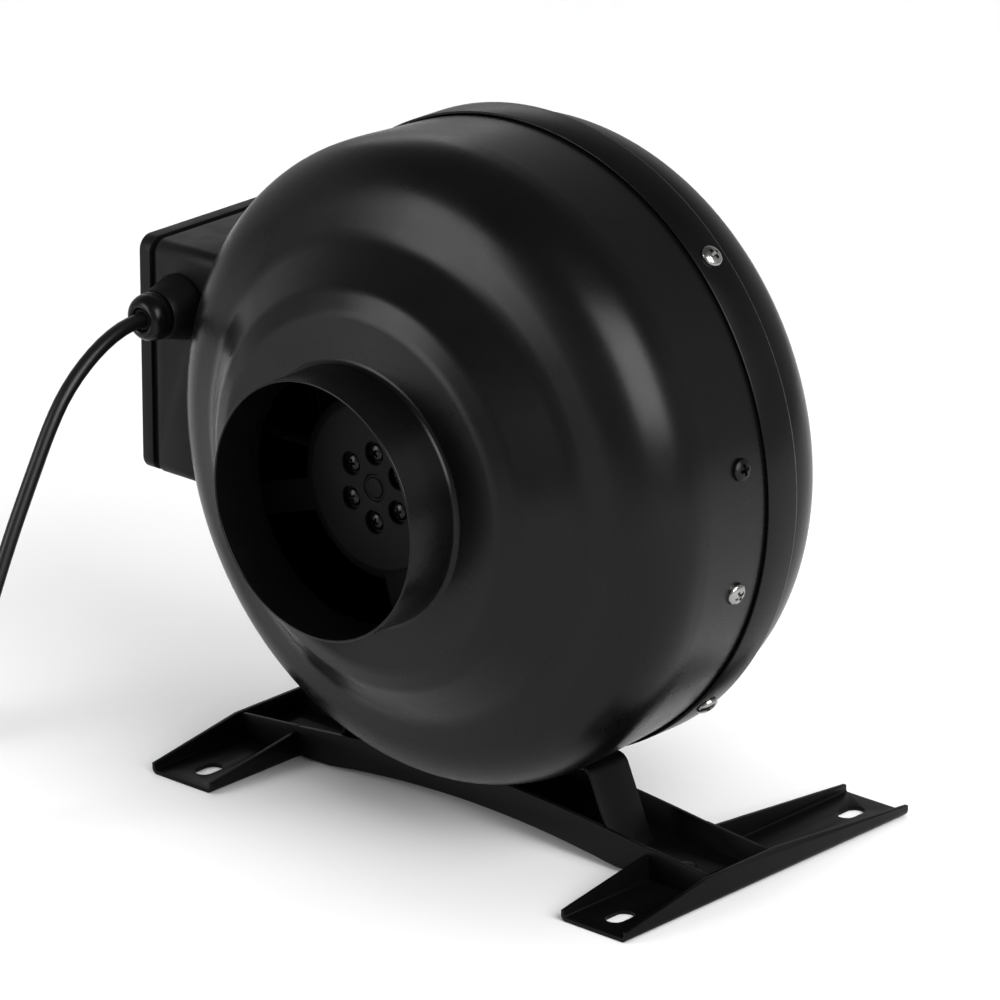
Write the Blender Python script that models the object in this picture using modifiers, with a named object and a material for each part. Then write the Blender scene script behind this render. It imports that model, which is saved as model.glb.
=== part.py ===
"""Inline duct fan: two pressed steel half shells round an external-rotor motor
and a backward-curved impeller, a side terminal box with its gland and supply
cord, and an H-shaped foot bracket.

Units are metres, +Z is up.  The duct axis lies along Y: the outlet spigot
points to -Y and the inlet spigot to +Y.  The origin is on the floor, under the
middle of the bounding box of the fan itself.
"""
import math

import bmesh
import bpy
from mathutils import Matrix, Vector

for old in list(bpy.data.objects):
    bpy.data.objects.remove(old, do_unlink=True)

MM = 0.001
GAP = 0.3 * MM                      # clearance kept between touching pieces

# ---------------------------------------------------------------- frame
AX = 16.15 * MM                     # duct axis, X
AY = 9.5 * MM                       # plane of the seam between the shells, Y
AZ = 146.0 * MM                     # duct axis above the floor

# ---------------------------------------------------------------- shells
STEPS = 36
SHEET = 1.0 * MM                    # shell sheet thickness
R_SPIGOT = 49.0 * MM                # spigot outside radius, for 100 mm duct
R_BULGE = 122.8 * MM                # widest radius of the outlet shell
R_SKIRT = 121.0 * MM                # outlet shell's skirt, inside the band
R_BAND = 122.4 * MM                 # inlet shell's band, outside
R_REAR = 118.6 * MM                 # inlet shell's dome
RHO_FRONT = 27.4 * MM               # rolling radius of the outlet dome
RHO_REAR = 26.3 * MM                # rolling radius of the inlet dome
Y_RIM_OUT = -110.0 * MM             # outlet spigot rim, from the seam plane
Y_RIM_IN = 91.0 * MM                # inlet spigot rim, from the seam plane

# ---------------------------------------------------------------- bracket
LEG_X = 103.85 * MM                 # leg centre from the duct axis
LEG_W = 31.5 * MM
LEG_Y0, LEG_Y1 = -73.4 * MM, 86.5 * MM
PLATE = 1.5 * MM
LEG_H_MID, LEG_H_END = 11.2 * MM, 4.2 * MM
BAR_Y0, BAR_Y1 = -26.4 * MM, 8.0 * MM
SLOT_L, SLOT_W, SLOT_IN = 12.5 * MM, 7.5 * MM, 14.5 * MM

# ---------------------------------------------------------------- terminal box
BOX_X0, BOX_X1 = -146.4 * MM, -112.0 * MM
BOX_Y0, BOX_Y1 = -40.0 * MM, 36.0 * MM
BOX_Z0, BOX_Z1 = -41.0 * MM, 52.5 * MM
LID_X0, LID_X1 = -155.1 * MM, -149.6 * MM
R_SADDLE = 123.15 * MM
GLAND_X, GLAND_Z = -133.5 * MM, 29.4 * MM

# ---------------------------------------------------------------- cord
CORD_R = 2.9 * MM
COIL_R = 35.0 * MM                  # middle of the turns

parts = bpy.data.collections.new("inline_duct_fan")
bpy.context.scene.collection.children.link(parts)
cutters = bpy.data.collections.new("cutters")
bpy.context.scene.collection.children.link(cutters)


# ================================================================ helpers
def material(name, colour, rough, metal=0.0):
    mat = bpy.data.materials.new(name)
    mat.use_nodes = True
    shader = mat.node_tree.nodes["Principled BSDF"]
    shader.inputs["Base Color"].default_value = (*colour, 1.0)
    shader.inputs["Roughness"].default_value = rough
    shader.inputs["Metallic"].default_value = metal
    return mat


def finish(obj, mat, cutter=False):
    for coll in list(obj.users_collection):
        coll.objects.unlink(obj)
    (cutters if cutter else parts).objects.link(obj)
    if cutter:
        obj.hide_render = True
        obj.display_type = "WIRE"
    else:
        own = mat.copy()
        own.name = f"{obj.name}_{mat.name}"
        obj.data.materials.clear()
        obj.data.materials.append(own)
    if obj.type == "MESH" and not cutter:
        obj.data.shade_smooth()
        obj.data.set_sharp_from_angle(angle=math.radians(35))
    return obj


def place(obj, at=(0, 0, 0), rot=None):
    """Puts an object at a point given from the duct axis and seam plane, with
    heights above the duct axis."""
    if rot is not None:
        obj.rotation_mode = "QUATERNION"
        obj.rotation_quaternion = rot
    obj.location = (AX + at[0], AY + at[1], AZ + at[2])
    return obj


def along(direction):
    """Rotation that turns local +Z to a direction."""
    return Vector(direction).normalized().to_track_quat("Z", "Y")


TO_FRONT = Matrix.Rotation(math.radians(90), 4, "X").to_quaternion()


def area(profile):
    total = 0.0
    for (r0, z0), (r1, z1) in zip(profile, profile[1:] + profile[:1]):
        total += r0 * z1 - r1 * z0
    return total / 2


def turned(name, profile, steps, mat, cutter=False):
    """A closed (radius, height) outline turned about local Z."""
    if area(profile) > 0:
        profile = profile[::-1]
    mesh = bpy.data.meshes.new(name)
    bm = bmesh.new()
    verts = [bm.verts.new((r, 0, z)) for r, z in profile]
    for a, b in zip(verts, verts[1:] + verts[:1]):
        if a.co.x < 1e-9 and b.co.x < 1e-9:
            continue
        bm.edges.new((a, b))
    bm.to_mesh(mesh)
    bm.free()
    obj = bpy.data.objects.new(name, mesh)
    screw = obj.modifiers.new("turn", "SCREW")
    screw.axis = "Z"
    screw.steps = screw.render_steps = steps
    screw.use_merge_vertices = True
    screw.merge_threshold = 1e-6
    return finish(obj, mat, cutter)


def offset(points, by):
    """Points moved to the right of their direction of travel."""
    out = []
    for i, p in enumerate(points):
        a = Vector(points[max(i - 1, 0)])
        b = Vector(points[min(i + 1, len(points) - 1)])
        before = (Vector(p) - a) if i else (b - Vector(p))
        after = (b - Vector(p)) if i < len(points) - 1 else before
        n0 = Vector((before.y, -before.x)).normalized()
        n1 = Vector((after.y, -after.x)).normalized()
        n = (n0 + n1).normalized()
        out.append(tuple(Vector(p) + n * by / max(n.dot(n0), 0.5)))
    return out


def arc(cx, cy, r, a0, a1, n):
    return [(cx + r * math.cos(math.radians(a0 + (a1 - a0) * i / n)),
             cy + r * math.sin(math.radians(a0 + (a1 - a0) * i / n)))
            for i in range(n + 1)]


def block(name, low, high, mat, bevel=0.0, segments=2, cutter=False):
    """An upright box between two corners, with its edges rounded."""
    size = [h - l for l, h in zip(low, high)]
    mesh = bpy.data.meshes.new(name)
    bm = bmesh.new()
    bmesh.ops.create_cube(bm, size=1.0)
    bmesh.ops.scale(bm, vec=size, verts=bm.verts)
    bm.to_mesh(mesh)
    bm.free()
    obj = bpy.data.objects.new(name, mesh)
    if bevel:
        mod = obj.modifiers.new("edges", "BEVEL")
        mod.width = bevel
        mod.segments = segments
        mod.limit_method = "ANGLE"
    finish(obj, mat, cutter)
    return place(obj, [(l + h) / 2 for l, h in zip(low, high)])


def prism(name, outline, depth, mat, cutter=False):
    """A flat outline in local XY made a solid, depth thick about local Z."""
    if area(outline) < 0:
        outline = outline[::-1]
    mesh = bpy.data.meshes.new(name)
    bm = bmesh.new()
    face = bm.faces.new([bm.verts.new((x, y, -depth / 2)) for x, y in outline])
    grown = bmesh.ops.extrude_face_region(bm, geom=[face])["geom"]
    bmesh.ops.translate(bm, vec=(0, 0, depth),
                        verts=[v for v in grown if isinstance(v, bmesh.types.BMVert)])
    bmesh.ops.recalc_face_normals(bm, faces=bm.faces)
    bm.to_mesh(mesh)
    bm.free()
    return finish(bpy.data.objects.new(name, mesh), mat, cutter)


def cylinder(name, r, length, steps=24, mat=None, cutter=True):
    """A plain round bar about local Z, centred on its origin."""
    mesh = bpy.data.meshes.new(name)
    bm = bmesh.new()
    bmesh.ops.create_cone(bm, cap_ends=True, segments=steps, radius1=r,
                          radius2=r, depth=length)
    bm.to_mesh(mesh)
    bm.free()
    return finish(bpy.data.objects.new(name, mesh), mat, cutter)


def boolean(obj, other, how="DIFFERENCE"):
    mod = obj.modifiers.new(how.lower(), "BOOLEAN")
    mod.operation = how
    mod.object = other
    mod.solver = "EXACT"
    return obj


def bake(obj):
    """Applies an object's modifiers, so that it can be joined again."""
    bpy.context.view_layer.update()
    graph = bpy.context.evaluated_depsgraph_get()
    mesh = bpy.data.meshes.new_from_object(obj.evaluated_get(graph))
    obj.modifiers.clear()
    obj.data = mesh
    return obj


def tube(name, points, r, mat, resolution=2):
    curve = bpy.data.curves.new(name, "CURVE")
    curve.dimensions = "3D"
    curve.bevel_depth = r
    curve.bevel_resolution = resolution
    curve.use_fill_caps = True
    spline = curve.splines.new("POLY")
    spline.points.add(len(points) - 1)
    for point, p in zip(spline.points, points):
        point.co = (*p, 1)
    obj = bpy.data.objects.new(name, curve)
    finish(obj, mat)
    return place(obj)


def smooth_route(points, spacing):
    """Evenly spaced points on a Catmull-Rom curve through the given ones."""
    pts = [Vector(p) for p in points]
    pts = [pts[0] * 2 - pts[1]] + pts + [pts[-1] * 2 - pts[-2]]
    fine = []
    for a, b, c, d in zip(pts, pts[1:], pts[2:], pts[3:]):
        for i in range(24):
            t = i / 24
            fine.append(0.5 * ((2 * b) + (c - a) * t + (2 * a - 5 * b + 4 * c - d) * t * t
                               + (3 * b - a - 3 * c + d) * t ** 3))
    fine.append(pts[-2])
    total = sum((q - p).length for p, q in zip(fine, fine[1:]))
    count = max(2, round(total / spacing))
    out, run, want = [fine[0]], 0.0, total / count
    for p, q in zip(fine, fine[1:]):
        step = (q - p).length
        while step > 0 and run + step >= want and len(out) < count:
            t = (want - run) / step
            p = p.lerp(q, t)
            out.append(p.copy())
            step = (q - p).length
            run = 0.0
        run += step
    out.append(fine[-1])
    return out


# ================================================================ materials
BLACK_STEEL = material("black_powder_coat", (0.012, 0.012, 0.013), 0.32)
BLACK_BRACKET = material("bracket_powder_coat", (0.012, 0.012, 0.013), 0.42)
BOX_PLASTIC = material("box_plastic", (0.02, 0.02, 0.022), 0.5)
RUBBER = material("black_rubber", (0.012, 0.012, 0.012), 0.75)
GLAND_PLASTIC = material("gland_plastic", (0.01, 0.01, 0.011), 0.28)
ZINC = material("zinc_steel", (0.62, 0.62, 0.6), 0.3, 1.0)
BLACK_SCREW = material("blackened_steel", (0.03, 0.03, 0.03), 0.4, 0.7)
GALVANISED = material("galvanised_steel", (0.3, 0.3, 0.31), 0.4, 1.0)
CAST = material("cast_aluminium", (0.5, 0.5, 0.51), 0.45, 1.0)
LAMINATION = material("silicon_steel", (0.2, 0.2, 0.21), 0.45, 1.0)
COPPER = material("copper_winding", (0.6, 0.25, 0.12), 0.35, 1.0)
BRASS = material("brass", (0.65, 0.48, 0.2), 0.3, 1.0)
BEARING = material("bearing_steel", (0.55, 0.55, 0.56), 0.2, 1.0)
WHEEL = material("impeller_plastic", (0.03, 0.03, 0.032), 0.45)
WHITE_PLASTIC = material("white_plastic", (0.75, 0.75, 0.72), 0.5)
CORD_PVC = material("cord_pvc", (0.012, 0.012, 0.012), 0.45)
PLUG_PVC = material("plug_pvc", (0.012, 0.012, 0.012), 0.5)


# ================================================================ shells
def shell_outline(outer, keep):
    """Outer line of a shell from its rim to its open edge, closed by a coarser
    line moved in by the sheet's thickness."""
    inner = offset(outer, SHEET)
    if sum(r for r, _ in inner) > sum(r for r, _ in outer):
        inner = offset(outer, -SHEET)
    inner = [p for i, p in enumerate(inner) if i in (0, len(inner) - 1) or keep(i)]
    return outer + inner[::-1]


def spigot_line(y_rim, rho, r_side, side_y, shoulder):
    """Rim, collar, root fillet, shoulder and dome, as (radius, distance out
    from the seam plane).  side_y is where the dome meets the side; shoulder
    is (radius, drop from the rim)."""
    line = [(R_SPIGOT, y_rim), (R_SPIGOT, y_rim - 20.8 * MM), (R_SPIGOT + 3.0 * MM, y_rim - 23.8 * MM)]
    line += [(r * MM, y_rim - drop * MM) for r, drop in shoulder]
    return line + arc(r_side - rho, side_y, rho, 78, 0, 5)


front_line = spigot_line(-Y_RIM_OUT, RHO_FRONT, R_BULGE, 37.2 * MM,
                         ((67.5, 25.1), (75.5, 28.4), (90.0, 41.9), (93.6, 44.1)))
front_line += [(R_BULGE, 31.0 * MM), (121.5 * MM, 25.2 * MM), (R_SKIRT, 20.0 * MM),
               (R_SKIRT, -13.0 * MM)]
front_shell = place(turned("front_shell", shell_outline(front_line, lambda i: i < 7 or i in (8, 10) or i > 11), STEPS, BLACK_STEEL),
                    rot=TO_FRONT)

rear_line = spigot_line(Y_RIM_IN, RHO_REAR, R_REAR, 19.4 * MM,
                        ((70.5, 28.2), (74.5, 30.2), (80.2, 38.6), (84.0, 41.4)))
rear_line += [(R_REAR + 0.9 * MM, 17.6 * MM), (R_BAND - 1.1 * MM, 16.9 * MM),
              (R_BAND, 15.6 * MM), (R_BAND, 0.0)]
TO_REAR = Matrix.Rotation(math.radians(-90), 4, "X").to_quaternion()
rear_shell = place(turned("rear_shell", shell_outline(rear_line, lambda i: i < 7 or i in (8, 10) or i > 11), STEPS, BLACK_STEEL),
                   rot=TO_REAR)


def radial(angle):
    a = math.radians(angle)
    return Vector((math.cos(a), 0, math.sin(a)))


def on_side(angle, y, r):
    d = radial(angle) * r
    return (d.x, y, d.z)


def drill(objs, name, angle, y, r_hole, r_at):
    cut = place(cylinder(name, r_hole, 16 * MM, 8), on_side(angle, y, r_at),
                along(radial(angle)))
    for obj in objs:
        boolean(obj, cut)


def screw(name, mat, head_r, head_h, shank_r, shank_l, steps=8):
    """A pan-head screw: the head's seat is at local z = 0, the shank below."""
    profile = [(0, -shank_l), (shank_r, -shank_l), (shank_r, 0), (head_r, 0),
               (head_r, head_h * 0.45), (head_r * 0.7, head_h), (0, head_h)]
    return turned(name, profile, steps, mat)


# screws that hold the inlet shell's band to the outlet shell
for i, angle in enumerate((45, -45, 135, -135), 1):
    drill((front_shell, rear_shell), f"band_hole_{i}", angle, 8.3 * MM, 1.95 * MM, 121 * MM)
    place(screw(f"band_screw_{i}", ZINC, 4.3 * MM, 2.5 * MM, 1.6 * MM, 8 * MM),
          on_side(angle, 8.3 * MM, R_BAND + GAP), along(radial(angle)))

# black screw of the motor lead's clip, and the earthing screw below it
drill((front_shell,), "clip_hole", 9.2, -13.7 * MM, 1.95 * MM, 121 * MM)
place(screw("lead_clip_screw", BLACK_SCREW, 4.3 * MM, 2.4 * MM, 1.6 * MM, 8 * MM),
      on_side(9.2, -13.7 * MM, R_SKIRT + GAP), along(radial(9.2)))
drill((front_shell,), "earth_hole", -13.5, -13.7 * MM, 1.95 * MM, 121 * MM)
place(screw("earth_screw", ZINC, 4.3 * MM, 2.4 * MM, 1.6 * MM, 8 * MM),
      on_side(-13.5, -13.7 * MM, R_SKIRT + GAP), along(radial(-13.5)))

# ================================================================ inlet ring
ring = [(50.5 * MM, 65.5 * MM), (47.0 * MM, 59.0 * MM), (43.6 * MM, 49.0 * MM), (42.0 * MM, 39.0 * MM),
        (42.0 * MM, 31.0 * MM), (43.2 * MM, 31.0 * MM), (43.2 * MM, 39.0 * MM), (44.8 * MM, 48.6 * MM),
        (48.3 * MM, 58.5 * MM), (53.4 * MM, 63.9 * MM), (64.0 * MM, 61.4 * MM), (64.0 * MM, 62.4 * MM)]
inlet_ring = place(turned("inlet_ring", ring, 24, GALVANISED), rot=TO_REAR)

# ================================================================ motor support
DISC_Y0, DISC_Y1 = 77.0 * MM, 73.0 * MM          # front and back of the disc
disc = turned("motor_support", [(0, DISC_Y1), (33.6 * MM, DISC_Y1), (35.0 * MM, DISC_Y1 + 1.2 * MM),
                                (34.6 * MM, DISC_Y0 - 1.4 * MM), (32.5 * MM, DISC_Y0 - 0.3 * MM),
                                (30.0 * MM, DISC_Y0), (5.4 * MM, DISC_Y0), (4.8 * MM, DISC_Y0 - 0.7 * MM),
                                (4.2 * MM, DISC_Y0 - 0.7 * MM), (3.7 * MM, DISC_Y0), (0, DISC_Y0)],
              30, CAST)
place(disc, rot=TO_FRONT)
for i in range(4):
    angle = -72 + 90 * i
    arm = block(f"arm_{i}", (0, 0, 0), (46 * MM, 3.4 * MM, 12 * MM), CAST, cutter=True)
    d = radial(angle)
    rot = Matrix((d, Vector((0, 1, 0)), d.cross(Vector((0, 1, 0))))).transposed().to_quaternion()
    place(arm, (d.x * 50 * MM, -74.8 * MM, d.z * 50 * MM), rot)
    boolean(disc, arm, "UNION")
    foot = block(f"arm_foot_{i}", (0, 0, 0), (7 * MM, 6.4 * MM, 16 * MM), CAST, cutter=True)
    place(foot, (d.x * 69.6 * MM, -74.6 * MM, d.z * 69.6 * MM), rot)
    boolean(disc, foot, "UNION")
HOLE_R = 13.3 * MM
for i in range(6):
    d = radial(30 + 60 * i) * HOLE_R
    cut = turned(f"motor_bore_{i}", [(0, 70 * MM), (2.3 * MM, 70 * MM), (2.3 * MM, 74.6 * MM),
                                     (4.3 * MM, 74.8 * MM), (4.3 * MM, 79 * MM), (0, 79 * MM)],
                 10, CAST, cutter=True)
    place(cut, (d.x, 0, d.z), TO_FRONT)
    boolean(disc, cut)
    place(screw(f"motor_screw_{i + 1}", ZINC, 3.3 * MM, 1.9 * MM, 2.0 * MM, 6.6 * MM),
          (d.x, -75.1 * MM, d.z), TO_FRONT)

# ================================================================ motor
# fixed base: flange with its bearing tube
base_profile = [(11.05 * MM, 72.6 * MM), (30.0 * MM, 72.6 * MM), (30.0 * MM, 68.2 * MM),
                (14.0 * MM, 68.2 * MM), (14.0 * MM, 24.0 * MM), (11.05 * MM, 24.0 * MM)]
motor_base = place(turned("motor_base", base_profile, 24, CAST), rot=TO_FRONT)
for i in range(6):
    d = radial(30 + 60 * i) * HOLE_R
    cut = place(cylinder(f"base_bore_{i}", 2.35 * MM, 10 * MM, 8), (d.x, -71.5 * MM, d.z), TO_FRONT)
    boolean(motor_base, cut)

core_profile = [(14.35 * MM, 58.0 * MM), (29.5 * MM, 58.0 * MM), (29.5 * MM, 36.0 * MM),
                (14.35 * MM, 36.0 * MM)]
place(turned("stator_core", core_profile, 24, LAMINATION), rot=TO_FRONT)


def coil_head(name, y0, y1):
    profile = [(16.0 * MM, y0), (19.0 * MM, y0 + (y1 - y0) * 0.02), (28.0 * MM, y0),
               (28.5 * MM, y0 + (y1 - y0) * 0.6), (25.0 * MM, y1), (19.5 * MM, y1),
               (16.0 * MM, y0 + (y1 - y0) * 0.6)]
    return place(turned(name, profile, 20, COPPER), rot=TO_FRONT)


coil_head("winding_front", 58.3 * MM, 66.0 * MM)
coil_head("winding_rear", 35.7 * MM, 28.0 * MM)


def bearing(name, y):
    profile = [(4.0 * MM, y + 3.5 * MM), (10.75 * MM, y + 3.5 * MM),
               (10.75 * MM, y - 3.5 * MM), (4.0 * MM, y - 3.5 * MM)]
    return place(turned(name, profile, 24, BEARING), rot=TO_FRONT)


bearing("bearing_front", 64.0 * MM)
bearing("bearing_rear", 30.0 * MM)

# ---- rotating group: shaft, rotor cup and impeller, origins on the duct axis
shaft_profile = [(0, 70.0 * MM), (3.2 * MM, 70.0 * MM), (3.93 * MM, 69.0 * MM),
                 (3.93 * MM, 22.3 * MM), (0, 22.3 * MM)]
place(turned("motor_shaft", shaft_profile, 28, BEARING), rot=TO_FRONT)

cup_profile = [(0, 22.0 * MM), (31.0 * MM, 22.0 * MM), (31.0 * MM, 64.5 * MM),
               (35.5 * MM, 64.5 * MM), (36.0 * MM, 64.0 * MM), (36.0 * MM, 20.5 * MM),
               (34.0 * MM, 18.5 * MM), (0, 18.5 * MM)]
place(turned("rotor_cup", cup_profile, 28, GALVANISED), rot=TO_FRONT)

# impeller: hub dish over the rotor cup, back plate, seven blades, inlet shroud
R_WHEEL = 86.0 * MM
hub_profile = [(36.7 * MM, 52.0 * MM), (38.7 * MM, 52.0 * MM), (38.7 * MM, 18.6 * MM),
               (R_WHEEL, 13.5 * MM), (R_WHEEL, 11.5 * MM), (38.0 * MM, 16.2 * MM),
               (0.0, 16.2 * MM), (0.0, 18.2 * MM), (35.0 * MM, 18.2 * MM),
               (36.7 * MM, 20.2 * MM)]
impeller = turned("impeller", hub_profile, 24, WHEEL)
place(impeller, rot=TO_FRONT)
shroud_line = [(R_WHEEL, -16.0 * MM), (66.0 * MM, -21.5 * MM), (52.0 * MM, -27.0 * MM),
               (47.2 * MM, -32.5 * MM), (46.0 * MM, -38.0 * MM)]
shroud = turned("shroud", shroud_line + [(r - (1.8 * MM if i > 2 else 0.6 * MM), z + (1.8 * MM if i <= 2 else 0.5 * MM))
                                         for i, (r, z) in enumerate(shroud_line)][::-1],
                24, WHEEL, cutter=True)
place(shroud, rot=TO_FRONT)
boolean(impeller, shroud, "UNION")
BLADES = 7
for i in range(BLADES):
    line = []
    for k in range(5):
        t = k / 4
        r = (48.5 + 36.5 * t) * MM
        a = math.radians(360 / BLADES * i + 62 * t ** 0.9)
        line.append((r * math.cos(a), r * math.sin(a)))
    other = offset(line, 1.7 * MM)
    blade = prism(f"blade_{i}", line + other[::-1], 33.6 * MM, WHEEL, cutter=True)
    place(blade, (0, 2.5 * MM, 0), TO_FRONT)
    boolean(impeller, blade, "UNION")

# ================================================================ motor lead
lead_pts = [(-31.5, -70.0, 6.0), (-44, -69.2, 6.0), (-70, -66.0, 5.0), (-90, -56.5, 3.5),
            (-102, -44, 2.0), (-107.5, -30, 0.5), (-109.0, -18, 0.0), (-110.3, -11.0, 0.0),
            (-112.6, -7.4, 0.0), (-116.0, -6.0, 0.0), (-119.0, -6.0, 0.0), (-122.0, -6.0, 0.0),
            (-125.0, -6.0, 0.0), (-128.4, -6.0, 0.0)]
lead = tube("motor_lead", smooth_route([tuple(c * MM for c in p) for p in lead_pts], 4.5 * MM),
            1.9 * MM, CORD_PVC, 1)
grommet_profile = [(2.35 * MM, -3.6 * MM), (6.6 * MM, -3.6 * MM), (6.6 * MM, -2.3 * MM),
                   (4.7 * MM, -2.0 * MM), (4.7 * MM, 4.9 * MM), (2.35 * MM, 4.9 * MM)]
OUT = along((-1, 0, 0))
place(turned("lead_grommet", grommet_profile, 14, RUBBER), (-120.6 * MM, -6.0 * MM, 0), OUT)
cut = place(cylinder("grommet_hole", 5.2 * MM, 14 * MM, 12), (-121.5 * MM, -6.0 * MM, 0), OUT)
boolean(front_shell, cut)

# P-clip inside the skirt
clip = block("lead_clip", (0, 0, 0), (1.2 * MM, 12 * MM, 9 * MM), GALVANISED, 0.3 * MM)
place(clip, on_side(9.2, -13.7 * MM, 118.3 * MM), along(radial(9.2)) @ Matrix.Rotation(math.radians(90), 4, "Y").to_quaternion())
cut = place(cylinder("clip_bore", 1.95 * MM, 8 * MM, 12), on_side(9.2, -13.7 * MM, 118.3 * MM), along(radial(9.2)))
boolean(clip, cut)

# ================================================================ terminal box
saddle = place(cylinder("saddle", R_SADDLE + 0.15 * MM, 260 * MM, 72), (0, 0, 0), TO_FRONT)
cavity_side = place(cylinder("cavity_side", R_SADDLE + 2.45 * MM, 240 * MM, 72), (0, 0, 0), TO_FRONT)
box_base = block("terminal_box_base", (BOX_X0, BOX_Y0, BOX_Z0), (BOX_X1, BOX_Y1, BOX_Z1),
                 BOX_PLASTIC, 4.0 * MM, 3)
trim = block("box_mouth", (BOX_X0 - 6 * MM, BOX_Y0 - 5 * MM, BOX_Z0 - 5 * MM),
             (BOX_X0 + 4.2 * MM, BOX_Y1 + 5 * MM, BOX_Z1 + 5 * MM), BOX_PLASTIC, cutter=True)


def rounded_outline(y0, z0, y1, z1, r, n=3):
    out = []
    for cy, cz, a in ((y1 - r, z1 - r, 0), (y0 + r, z1 - r, 90), (y0 + r, z0 + r, 180), (y1 - r, z0 + r, 270)):
        out += arc(cy, cz, r, a, a + 90, n)
    return out


TO_SIDE = Matrix(((0, 0, -1), (-1, 0, 0), (0, 1, 0))).to_quaternion()   # local X -> -Y, Y -> Z, Z -> -X


def side_prism(name, x0, x1, inset, r, mat, cutter=False, y0=BOX_Y0, y1=BOX_Y1, z0=BOX_Z0, z1=BOX_Z1, edge=0.0):
    """A rounded plate parallel to the box's mouth."""
    outline = rounded_outline(y0 + inset, z0 + inset, y1 - inset, z1 - inset, r)
    outline = [(-y, z) for y, z in outline][::-1]
    obj = prism(name, outline, abs(x1 - x0), mat, cutter)
    if edge:
        mod = obj.modifiers.new("edges", "BEVEL")
        mod.width = edge
        mod.segments = 1
        mod.limit_method = "ANGLE"
        mod.angle_limit = math.radians(50)
    return place(obj, ((x0 + x1) / 2, 0, 0), TO_SIDE)


bpy.data.objects.remove(box_base, do_unlink=True)
bpy.data.objects.remove(trim, do_unlink=True)
box_base = side_prism("terminal_box_base", BOX_X0, BOX_X1, 0.0, 6.0 * MM, BOX_PLASTIC, edge=0.8 * MM)
boolean(box_base, saddle)
hollow = side_prism("box_hollow", BOX_X0 - 3 * MM, BOX_X1 + 4 * MM, 2.4 * MM, 4.0 * MM, BOX_PLASTIC, cutter=True)
boolean(hollow, cavity_side)
boolean(box_base, hollow)
gland_hole = place(cylinder("gland_hole", 6.6 * MM, 12 * MM, 24), (GLAND_X, BOX_Y0, GLAND_Z), TO_FRONT)
boolean(box_base, gland_hole)
lead_hole = place(cylinder("box_lead_hole", 5.2 * MM, 14 * MM, 12), (-124.5 * MM, -6.0 * MM, 0), OUT)
boolean(box_base, lead_hole)
for i, z in enumerate((-28, 34), 1):
    a = 180 - math.degrees(math.asin(z * MM / R_SADDLE))
    d = radial(a)
    cut = place(cylinder(f"box_fix_hole_{i}", 1.95 * MM, 16 * MM, 8), on_side(a, 10 * MM, 122 * MM), along(d))
    boolean(box_base, cut)
    boolean(front_shell, cut)
    boolean(rear_shell, cut)
    place(screw(f"box_screw_{i}", ZINC, 3.4 * MM, 2.0 * MM, 1.6 * MM, 8 * MM),
          on_side(a, 10 * MM, R_SADDLE + 2.3 * MM + GAP + 0.1 * MM), along(d))

gasket = side_prism("lid_gasket", -146.7 * MM, -149.3 * MM, 1.9 * MM, 4.6 * MM, RUBBER)
boolean(gasket, side_prism("gasket_window", -143 * MM, -153 * MM, 4.6 * MM, 2.5 * MM, RUBBER, cutter=True))
lid = side_prism("terminal_box_lid", LID_X1, LID_X0, 0.0, 6.0 * MM, BOX_PLASTIC, edge=1.5 * MM)
boolean(lid, side_prism("lid_pocket", LID_X1 + 3 * MM, LID_X0 + 2.2 * MM, 8.4 * MM, 3.0 * MM, BOX_PLASTIC, cutter=True))
for i, (y, z) in enumerate(((-34.6, 47.1), (30.6, 47.1), (-34.6, -35.6), (30.6, -35.6)), 1):
    cut = turned(f"lid_bore_{i}", [(0, -4 * MM), (1.95 * MM, -4 * MM), (1.95 * MM, 3.6 * MM), (3.6 * MM, 3.8 * MM),
                                   (3.6 * MM, 8 * MM), (0, 8 * MM)], 10, BOX_PLASTIC, cutter=True)
    place(cut, (LID_X1, y * MM, z * MM), OUT)
    boolean(lid, cut)
    place(screw(f"lid_screw_{i}", ZINC, 3.1 * MM, 1.3 * MM, 1.6 * MM, 11 * MM),
          (LID_X1 - 4.1 * MM, y * MM, z * MM), OUT)
    boss = place(cylinder(f"lid_boss_{i}", 3.3 * MM, 14 * MM, 10),
                 (BOX_X0 + 7.0 * MM, y * MM, z * MM), OUT)
    boolean(box_base, boss, "UNION")
    pilot = place(cylinder(f"lid_pilot_{i}", 1.95 * MM, 24 * MM, 8),
                  (BOX_X0 + 0.0 * MM, y * MM, z * MM), OUT)
    boolean(box_base, pilot)
    boolean(gasket, pilot)

block("terminal_block", (-142.5 * MM, -4 * MM, -22 * MM), (-133.0 * MM, 8 * MM, -2 * MM), WHITE_PLASTIC, 0.8 * MM)
cap_profile = [(0, -19 * MM), (7.2 * MM, -19 * MM), (8.0 * MM, -18.2 * MM), (8.0 * MM, 18.2 * MM), (7.2 * MM, 19 * MM), (0, 19 * MM)]
place(turned("run_capacitor", cap_profile, 14, WHITE_PLASTIC), (-137.2 * MM, 23.0 * MM, 3 * MM))

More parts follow.
